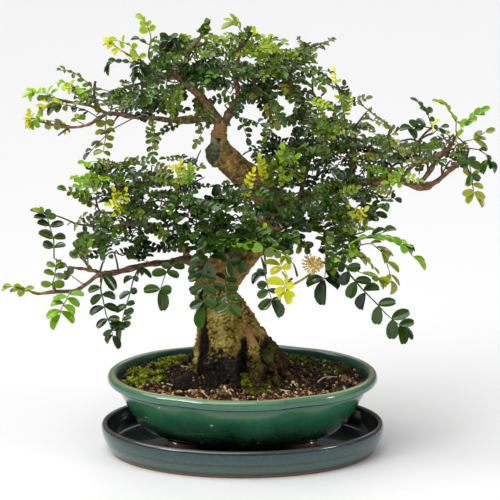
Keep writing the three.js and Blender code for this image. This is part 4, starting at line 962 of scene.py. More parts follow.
def scatterNodes(name, shapes):
    # the shapes turned by chance and as large as each point's size
    tree, start, end = growTree(name, {"Size": "Float", "Lean": "Float", "Seed": "Int"})
    lean, seed = start["Lean"], start["Seed"]
    back = times(lean, -1.0)
    low, high = (addNode("ShaderNodeCombineXYZ", {0: side, 1: side, 2: top}).outputs[0]
                 for side, top in ((back, 0.0), (lean, 6.283)))
    turn = addNode("FunctionNodeRandomValue", {"Min": low, "Max": high, "Seed": seed}, data_type="FLOAT_VECTOR")
    pick = addNode("FunctionNodeRandomValue", {"Seed": seed, 4: 0, 5: len(shapes) - 1}, data_type="INT")
    placeShapes(start, end, shapes, pick.outputs[2], turn.outputs[0], times(namedValue(tree, "size"), start["Size"]))
    return tree


def scatter(name, shapes, points, material, **values):
    # points: place, size and tint
    spots, sizes, tints = zip(*points)
    piece = newMesh(name, [spot * mm for spot in spots], smooth=False)
    storeValues(piece, "size", [size * mm for size in sizes])
    storeValues(piece, "tint", tints)
    piece = runNodes(piece, scatterNodes(name, shapes), name, material, Size=1.0, **values)
    for shape in shapes:
        bpy.data.objects.remove(shape)
    print(name + ":", len(spots), "with", len(piece.data.polygons), "faces")
    return piece


def crumbPoints(settings, draw):
    points = []
    while len(points) < settings["crumbs"] + settings["grit"]:
        x, y = draw.uniform(-103, 103), draw.uniform(-76, 76)
        # fewer lie at the back, and few on the moss
        if ovalReach(x, y) > 0.985 or (y > 20 and draw.random() < 0.5):
            continue
        if draw.random() < mossAt(x, y)[0] * 0.9:
            continue
        small = len(points) >= settings["crumbs"]
        front = fade(y, -20, -45)
        tint = draw.gauss(0.30 + 0.30 * front + 0.14 * noise.noise(Vector((x * 0.07, y * 0.07, 3))), 0.25)
        if draw.random() < 0.05 + 0.05 * front:
            tint = draw.uniform(0.82, 1.0)
        clod = sum(mound(x, y, *place) for place in settings["clods"])
        size = draw.uniform(0.7, 1.6) if small else draw.uniform(1.5, 3.2) * (1 + 0.5 * clod)
        if not small and draw.random() < 0.08:
            size *= 1.7
        spot = Vector((x, y, lumpyHeight(x, y) + size * draw.uniform(0.05, 0.3)))
        points.append((spot, size, tint + 0.45 * clod))
    return points


def mossPoints(settings, draw):
    points = []
    while len(points) < settings["mossTufts"]:
        x, y = draw.uniform(-103, 103), draw.uniform(-78, 78)
        if ovalReach(x, y) > 0.985:
            continue
        mossy, bright = mossAt(x, y)
        if draw.random() > mossy:
            continue
        size = draw.uniform(1.4, 2.9) * (0.75 + 0.35 * bright)
        points.append((Vector((x, y, lumpyHeight(x, y) - 0.3)), size, draw.gauss(0.1 + 0.6 * bright, 0.22)))
    return points


def makeGround(settings):
    makeSoil(settings)
    draw = random.Random(settings["seed"])
    crumbs = [crumbMesh("crumb%d" % k, k, squash) for k, squash in enumerate((0.75, 0.9, 0.6, 1.0))]
    piece = scatter("soilCrumbs", crumbs, crumbPoints(settings, draw), crumbMaterial(), Lean=3.14, Seed=3)
    finishPiece(piece, "soilCrumbs", "soil")
    tufts = [tuftMesh("tuft%d" % k, 20 + k, 7) for k in range(3)]
    piece = scatter("mossTufts", tufts, mossPoints(settings, draw), mossMaterial(), Lean=0.45, Seed=8)
    finishPiece(piece, "mossTufts", "moss", "moss_left", "moss_right")


makeGround(soil)

# the fine twigs and every compound leaf: lengths, pitches along the rib as shares of a leaflet, radii
leafSettings = {
    "closePitch": 0.74, "openPitch": 1.1, "bare": 0.12, "endLeaf": 1.18, "splay": 66, "seed": 7,
    "twigRadius": 1.0, "twigTip": 0.5, "ribRadius": 0.42, "ribTip": 0.26,
    "gapDepth": -10, "lowest": (-193, -85, 0), "highest": (200, 90, 360.5),
}
leafTones = {
    # deep colour, bright colour, underside, width of a leaflet as a share of its length
    "dark": ("0a1c04", "4c7812", "3f5a18", 0.68), "mid": ("142c02", "7f9d12", "6f8420", 0.66),
    "olive": ("2e360a", "a0a62c", "9a9f3c", 0.66), "light": ("3a5c08", "b0ca20", "a0b034", 0.64),
    "fresh": ("549004", "aad81a", "acc43c", 0.66), "bright": ("66a010", "b4dc34", "bccf55", 0.6),
    "young": ("c2c60a", "fbfb34", "eeea3c", 0.6),
}
# the source's sprays: name, tone and leaflet length; stems as a count of end leaves and a route, between
# slashes; single leaves as stem, share along it, tip, bow and how much they face the front
sprayTable = """
spray_top_left light 6 | 0, -53 -16 313, -65 -18 319, -72 -20 325, -70 -24 337 / 0, -65 -18 319, -74 -22 319, -83
-28 323 / 2, -59 -17 316, -57 -12 325, -53 -8 334 | 0 0.85 -66 -14 341 3 0.6, 1 0.8 -103 -30 315 4 0.5;
young_shoot_top_left young 4 | 0, -76 -23 322, -91 -16 328, -102 -18 337 | ;
spray_left_leader_low dark 4.8 | 0, -77 -22 305, -86 -26 304, -93 -28 302 | 0 0.3 -84 -44 291 2 0.7, 0 1 -108 -32
295 3 0.4;
spray_top_middle mid 4.4 | 0, -33 -15 338, -30 -16 346 | 0 1 -25 -16 358 2 0.7, 0 0.6 -18 -28 340 3 0.4;
spray_left_leader dark 5.5 | 2, -41 -11 303, -44 -6 308, -47 6 311, -53 34 310 / 2, -44 -6 308, -45 -24 313, -48 -40
305 | ;
spray_summit light 4.6 | 0, -2 -20 331, -2 -22 340 | 0 0.6 -14 -44 346 2 0.5, 0 0.8 6 -12 347 2 0.6;
spray_summit_right mid 4.8 | 0, 19 -8 330, 23 -10 340 | 0 1 15 -14 343 2 0.7, 0 1 35 -12 339 2 0.6, 0 0.6 35 -42 337
3 0.4;
spray_top_right mid 5.4 | 0, 19 16 298, 31 20 304, 43 24 310, 49 20 320, 53 16 328 / 0, 43 24 310, 50 16 308, 56 10
305 / 0, 31 20 304, 39 6 298, 44 0 295 / 2, 38 22 307, 40 44 308, 40 60 309 | 0 1 69 10 328 4 0.4, 0 0.9 55 20 331 3
0.5, 0 0.8 62 -14 322 3 0.3, 1 1 66 2 292 3 0.6, 1 0.7 78 24 303 4 0.3, 2 1 48 -4 270 3 0.7, 2 0.8 63 8 282 3 0.5;
spray_under_fork dark 5.8 | 0, -10 2 278, -5 -14 279, -1 -18 276 | 0 1 6 -22 256 3 0.8, 0 0.8 20 -36 273 3 0.6;
spray_right_leader_hanging olive 7.4 | 0, 16 13 297, 18 -4 295, 20 -12 293 | 0 1 28 -16 267 3 0.8, 0 0.7 6 -30 293 3
0.5;
spray_crown dark 6.2 | 2, 4 8 292, 4 8 298, 5 34 300, 3 54 303 / 2, 4 8 298, -6 -26 310, -17 -38 315 / 0, -6 -26
310, -9 -34 320 / 2, 4 8 298, 12 -8 305, 21 -28 318 | 2 1 -23 -44 334 3 0.4;
spray_left_tip fresh 4.6 | 0, -146 -4 290, -154 -6 292, -159 -6 293 | ;
young_shoot_left young 4 | 0, -163 -8 275, -168 -8 274 | ;
spray_left_arm_outer mid 4.8 | 0, -119 -6 284, -121 -4 290, -123 -8 295 / 2, -121 -4 290, -129 18 289, -136 32 289 |
;
spray_left_arm_low dark 4.6 | 0, -136 -12 268, -140 -18 266, -143 -22 264 | ;
spray_hanging_left_arm dark 5.6 | 0, -97 -8 277, -100 -18 274 | ;
spray_hanging_left_inner dark 5.8 | 0, -70 -10 274, -70 -20 270 | 0 1 -69 -26 242 3 0.9;
spray_left_arm_crown mid 5.2 | 2, -94 -8 279, -95 2 283, -102 40 279 / 2, -95 2 283, -97 -10 292, -101 -16 297 | ;
spray_left_arm_inner mid 5.2 | 2, -70 -10 277, -72 2 280, -70 42 278 / 2, -72 2 280, -75 -12 290, -79 -18 294 | ;
spray_mid_left_tip mid 6.6 | 0, -111 -24 203, -113 -28 209 | 0 1 -144 -34 225 4 0.5, 0 0.5 -109 -36 173 3 0.9;
spray_mid_left_high mid 5.8 | 0, -79 -28 201, -87 -30 215, -97 -30 226, -106 -31 235 / 2, -92 -30 220, -81 -34 228,
-71 -38 235 | 0 1 -135 -34 244 4 0.5, 0 0.8 -129 -50 232 4 0.4;
young_shoot_mid_left young 4.6 | 0, -85 -27 203, -89 -46 211, -94 -54 218 | 0 0.8 -88 -56 231 1 0.7, 0 1 -106 -60
217 1 0.7, 0 1 -99 -58 232 1 0.7, 0 0.7 -100 -58 208 1 0.7;
spray_mid_left_low light 4 | 0, -116 -26 193, -127 -26 194, -132 -28 196 | ;
spray_mid_left_front dark 6.2 | 2, -58 -21 183, -58 -36 194, -64 -56 209 / 2, -58 -36 194, -46 -48 204, -38 -54 214
| ;
young_shoot_mid young 4 | 0, -55 -20 182, -51 -34 211, -47 -40 239 | 0 1 -58 -46 245 1 0.6, 0 1 -35 -40 242 1 0.6, 0
0.85 -59 -44 230 1 0.6, 0 1 -47 -42 250 1 0.6;
spray_mid_left_back dark 6 | 2, -74 -26 194, -78 4 196, -83 30 198 / 2, -78 4 196, -95 16 199, -108 22 203 | ;
spray_low_left_tip fresh 4.8 | 0, -169 -24 140, -174 -24 140 | ;
spray_low_left_upright fresh 8.3 | 0, -147 -28 140, -148 -34 148 | ;
spray_low_left_hanging dark 9 | 0, -111 -28 154, -111 -36 150 | 0 1 -97 -46 97 5 0.9;
spray_low_left_hanging_inner dark 8 | 0, -80 -22 159, -82 -34 155 | ;
spray_low_left_near_trunk dark 10 | 0, -57 -18 161, -59 -32 157 | ;
spray_trunk_front_left dark 9.4 | 0, -31 -8 157, -31 -30 163, -31 -42 161 | 0 0.6 -46 -50 184 2 0.7;
spray_trunk_front dark 8.2 | 0, -4 2 162, -8 -26 169, -11 -40 159 / 2, -8 -26 169, -16 -42 187, -23 -50 197 | ;
spray_trunk_front_right dark 10 | 0, 16 4 176, 18 -24 165, 19 -34 156 | ;
bright_arc_leaf bright 9 | 0, 43 -39 156, 41 -48 165, 39 -53 170 | 0 1 -18 -64 186 7 0.75;
young_cluster_low young 5.4 | 0, 39 -40 154, 34 -44 151 | ;
spray_flower_twig dark 10.5 | 0, 67 -29 165, 66 -36 160 | 0 0.8 62 -46 196 2 0.7;
spray_right_arm_inner dark 5 | 2, 39 10 201, 35 -20 209, 29 -42 225 / 2, 35 -20 209, 36 -36 198, 32 -46 190 | ;
spray_right_inner mid 5 | 2, 51 -4 235, 55 -8 245, 59 -12 257, 63 -16 272 / 2, 55 -8 245, 46 -30 253, 38 -46 259 /
2, 53 -6 241, 59 26 241, 65 54 239 | ;
young_shoot_right_post young 4.2 | 0, 85 -5 244, 81 -9 252, 81 -9 268, 78 -8 286, 74 -8 301 | 0 1 71 -8 316 1 0.6, 0
0.6 85 -12 297 1 0.6, 0 0.8 65 -14 297 1 0.6;
spray_right_post mid 5 | 2, 86 -5 249, 85 -6 259, 91 -8 272, 97 -8 280 / 2, 85 -6 256, 80 -30 264, 75 -46 271 / 2,
85 -6 259, 89 26 256, 94 48 255 | ;
spray_right_arm_middle dark 5 | 2, 112 -8 225, 113 -6 232, 108 -34 246, 106 -48 255 / 2, 113 -6 232, 123 22 233, 131
44 233 | ;
spray_right_mid_tip mid 5.2 | 0, 139 -14 245, 139 -14 252, 137 -16 258 | 0 0.7 118 -36 277 3 0.4;
spray_right_up_tip bright 6 | 0, 165 -12 257, 168 -14 265 | ;
spray_right_arm_tip mid 6.8 | 0, 170 -16 241, 175 -20 246 | ;
spray_right_arm_outer_back mid 5 | 2, 154 -14 225, 161 12 230, 167 30 233 | ;
spray_right_arm_hanging dark 6 | 0, 99 -6 223, 98 -20 220, 112 -28 216 / 2, 98 -20 220, 88 -38 220, 80 -46 218 | 0 1
113 -34 206 3 0.8, 0 1 122 -22 210 3 0.5;
long_dark_leaf dark 11.2 | 0, 80 -23 173, 80 -32 167, 80 -36 161 | ;
spray_low_right bright 6.6 | 0, 79 -19 183, 86 -32 186, 92 -42 187 / 2, 82 -24 184, 91 4 179, 98 20 177 | ;
spray_low_right_pale olive 6.6 | 0, 80 -22 175, 86 -28 175 | ;
young_cluster_right young 5.2 | 0, 78 -17 194, 85 -40 198, 89 -50 204 | 0 1 80 -52 217 1 0.7, 0 1 98 -54 215 1 0.7,
0 0.8 101 -56 199 1 0.7;
"""
# single leaves: tone, leaflet length, base, tip, bow and how much they face the front
frondTable = """
dark 5.5 -46 -8 271 -68 -14 261 2 0.35; olive 5.2 -28 -10 271 -38 -16 252 1 0.8; mid 5 84 -6 285 102 -10 292 2 0.5;
olive 3.6 116 -10 268 92 -14 287 0 0.02; dark 4.6 119 -6 269 94 -10 288 1 0.15; dark 4.8 53 -6 314 71 -12 298 2 0.2;
mid 4.6 61 4 303 81 0 291 2 0.2; mid 5.6 -54 -16 333 -63 -22 343 1 0.7; mid 5.6 -51 -18 333 -41 -24 342 1 0.7; mid
4.2 -32 -15 341 -25 -16 353 1 0.7; mid 4.2 -32 -15 342 -29 -22 351 1 0.6; mid 4.2 -32 -15 343 -23 -12 347 1 0.6;
fresh 4.4 1 -16 338 8 -14 348 1 0.6; dark 9 97 -28 211 113 -34 206 1 0.45; dark 9 97 -24 205 112 -30 200 1 0.4; mid
8 95 -26 202 106 -36 198 1 0.5; bright 6.4 127 -20 226 108 -28 227 1 0.5; bright 5.5 128 -18 239 113 -26 222 2 0.3;
young 4.8 1 -24 213 10 -28 241 1 0.6; young 4.6 19 -24 223 13 -28 252 1 0.5; fresh 6.4 35 -24 244 30 -28 260 1 0.8;
fresh 5.4 36 -22 242 26 -28 252 1 0.7; fresh 5.4 37 -22 240 46 -26 251 1 0.7; light 5.6 40 -26 233 36 -32 247 1 0.7;
light 5.6 42 -24 229 49 -28 241 1 0.7; dark 10 -23 -40 212 -19 -46 231 1 0.9; dark 9 -23 -44 208 -35 -50 219 1 0.7;
dark 9 -22 -44 207 -8 -50 217 1 0.7; dark 9.4 -22 -48 196 -34 -56 182 2 0.8; dark 9.4 -20 -48 195 -15 -56 176 2 0.8;
dark 9 -5 -50 194 1 -56 171 2 0.8; dark 9 12 -46 196 15 -52 170 2 0.8; dark 9 25 -44 194 34 -50 176 2 0.8; dark 9 37
-42 203 54 -50 194 2 0.7; dark 9 -36 -42 192 -50 -50 183 2 0.7; dark 8.4 59 -36 190 76 -44 181 2 0.6; dark 8 71 -34
204 59 -40 212 1 0.6; mid 6.4 -114 -32 210 -133 -36 221 2 0.5; fresh 6 -100 -30 223 -132 -34 233 2 0.3; dark 6.4
-111 -34 203 -108 -40 162 2 0.35; mid 6 -127 -30 170 -131 -34 185 1 0.8; mid 6 -126 -30 168 -117 -34 183 1 0.8; mid
4.6 -72 -23 263 -67 -28 282 1 0.5; mid 5.8 -44 -23 180 -73 -27 173 2 0.8; mid 4.7 80 -11 292 79 -14 307 1 0.5; dark
5 65 -39 201 46 -40 210 2 0.5; dark 4.9 33 -7 255 14 -10 263 1 0.5; mid 6.3 -82 -18 187 -75 -22 167 2 0.9; mid 4.9
146 -18 254 126 -20 256 1 0.8; olive 5.1 -70 -29 242 -53 -32 237 1 0.8; mid 5.3 -9 -16 296 -24 -19 310 1 0.8; dark
5.1 -65 -26 342 -71 -30 323 2 0.8; olive 5.1 -123 -32 194 -111 -35 207 2 0.8; dark 5.7 56 8 229 52 6 211 1 0.8;
fresh 5.8 -42 -41 227 -40 -41 247 1 0.8; mid 4.8 95 -9 232 113 -11 230 1 0.9; olive 4.5 119 -30 222 100 -31 224 2
0.9; mid 5.7 -72 -26 195 -54 -31 180 1 0.9; mid 4.6 73 -44 221 92 -46 229 2 0.8; fresh 5.6 92 -40 181 71 -45 169 0
0.5; mid 4.9 60 -9 312 44 -10 314 3 0.8; mid 5.5 5 2 289 -7 -2 275 2 0.2; dark 5.6 -39 -19 318 -30 -23 297 1 0.9;
mid 5.8 14 3 249 -6 -1 239 2 0.2; mid 5 -116 -17 291 -139 -18 285 3 0.5; fresh 5 -111 -33 246 -127 -35 245 1 0.8;
mid 7.1 50 -37 170 68 -38 173 2 0.2; mid 5.1 -29 -37 234 -38 -39 242 0 0.9; mid 5 42 -2 302 42 -3 289 2 0.5; olive
5.3 122 -9 263 110 -13 272 3 0.9; mid 5.4 -62 -30 311 -77 -34 310 0 0.9; dark 6.8 -28 -15 197 -46 -16 206 2 0.5; mid
4.5 111 -51 253 102 -53 271 2 0.5; mid 5.4 -115 -28 207 -97 -33 191 3 0.8; dark 5 70 -25 234 90 -27 230 1 0.5; dark
4.9 47 -19 273 37 -19 255 1 0.9; olive 5.8 54 13 329 67 11 326 0 0.2; light 5 -131 -31 190 -120 -32 205 1 0.2; olive
4.8 -32 -24 253 -20 -25 257 2 0.9; dark 4.9 -99 -36 163 -91 -40 182 2 0.5; mid 5.9 -14 0 284 0 -1 292 0 0.5; mid 5.1
67 -27 245 58 -29 265 2 0.8; light 5.6 4 -23 329 14 -27 344 1 0.8; mid 6.6 -59 -41 177 -33 -43 178 3 0.5; mid 4.6 70
-11 283 82 -15 271 2 0.8; light 4.9 -31 8 332 -15 4 335 1 0.9; mid 4.3 140 1 228 140 0 245 0 0.8; light 5.2 -45 -43
243 -47 -45 230 2 0.9; mid 5.6 -118 -11 292 -112 -14 281 2 0.8; light 4.8 51 -19 292 71 -23 285 1 0.5; mid 5.3 78
-11 299 80 -12 281 2 0.2; dark 5.6 24 14 300 11 9 296 1 0.5; mid 4.3 118 -7 228 106 -9 238 0 0.9; mid 5 -91 -42 207
-74 -45 196 1 0.8; dark 4.4 83 -11 265 98 -15 269 1 0.9; mid 5.6 18 -23 230 38 -27 226 1 0.2; mid 5.6 91 -53 196 99
-54 204 3 0.5; dark 4.4 104 12 238 93 9 223 2 0.2; mid 4.9 22 -21 276 17 -24 259 2 0.8; olive 5.9 -68 -23 266 -67
-27 253 2 0.2; light 6 -109 -52 229 -120 -56 234 1 0.9; olive 6.4 -73 -41 168 -89 -45 171 0 0.2; mid 5.4 -95 -29 234
-86 -30 247 1 0.9; mid 5.2 -25 -7 286 -27 -9 267 0 0.5; dark 6 32 -44 197 37 -45 176 2 0.2; olive 4.9 -102 -32 241
-115 -35 248 1 0.2; olive 5.1 78 -38 199 84 -41 212 1 0.2; mid 4.9 7 3 298 -5 1 291 2 0.5; mid 5.6 -75 -15 292 -91
-18 301 1 0.5; dark 5.4 50 -40 219 64 -41 202 2 0.9; mid 5.1 -55 -12 266 -38 -15 278 2 0.2;
"""
# gaps in the foliage as they are seen from the front: x, z and radius in the plane gapDepth
openAir = readNumbers("""
-32 357 6.3, -37 350 6.3, 31 346 8.7, 20 345 4.8, -21 345 3.5, -105 345 7, 58 342 8.6, 51 340 5.4, 38 339 3.2, 67
324 6.3, 64 321 6.5, 64 314 3.3, -96 312 6.4, 76 310 3.6, -156 306 7.8, -100 304 4.3, -107 303 6, -179 299 9.5, 59
295 3.6, 89 295 3.3, 68 292 3.3, 31 290 3.3, -45 287 3.3, -43 287 3.3, 111 284 8.8, 37 283 3.3, 172 282 6, 130 281
7.1, 8 281 5.5, 92 280 3.9, 153 280 5.5, 8 279 5.6, -138 279 3.6, 137 278 3.6, -176 277 5.3, 126 277 6.4, 161 273
3.3, 186 271 4.3, 181 268 3.4, -46 266 4.6, -159 262 6.4, -39 262 4.3, -8 262 2.9, -124 261 7.8, -120 261 6, -149
261 6.4, -96 260 6.4, -5 257 4.8, -154 254 11.9, -137 253 10, -99 249 4.9, -101 245 3.3, -143 233 8.6, -126 233 3.9,
-29 226 4, 168 221 5.4, 160 218 7.2, 130 213 7.2, -133 208 3.3, 118 206 3.3, -135 197 2.9, 103 190 2.9, 134 183 7.2,
-136 178 4.4, -167 178 7.2, 99 169 3.3, 123 167 2.9, -164 165 7.8, 104 165 2.7, 128 160 6.9, 109 156 3.3, -164 152
6.5, -46 148 3.4, 5 147 2.9, -77 143 4, 47 141 4.9, -81 140 3.7, -50 139 6.1, 4 138 7.5, -124 133 2.9, 46 133 6.5,
-82 131 4.5, -54 129 6.1, -155 127 3.4, 5 126 6.1, 44 123 7.2, -81 122 6.6, 7 119 3.9, -132 115 3.7, 132 93 3.4
""")
# boxes of the same plane where only the leaf-by-leaf fronds grow: x, z, x, z
clearBoxes = readNumbers("""
-169 160 -139 207, -195 87 -89 160, -108 87 -80 146, -80 118 -45 160, -47 103 46 168, 10 103 47 160, 48 120 82 147,
77 87 145 160, 96 87 147 183, 142 269 201 294, 177 198 202 269, 144 198 203 233, 122 257 148 292, -176 261 -132 317,
-124 242 -97 275, -112 317 -71 345, -87 342 -66 359, -30 225 1 266, 48 147 66 168, -19 343 0 359
""")
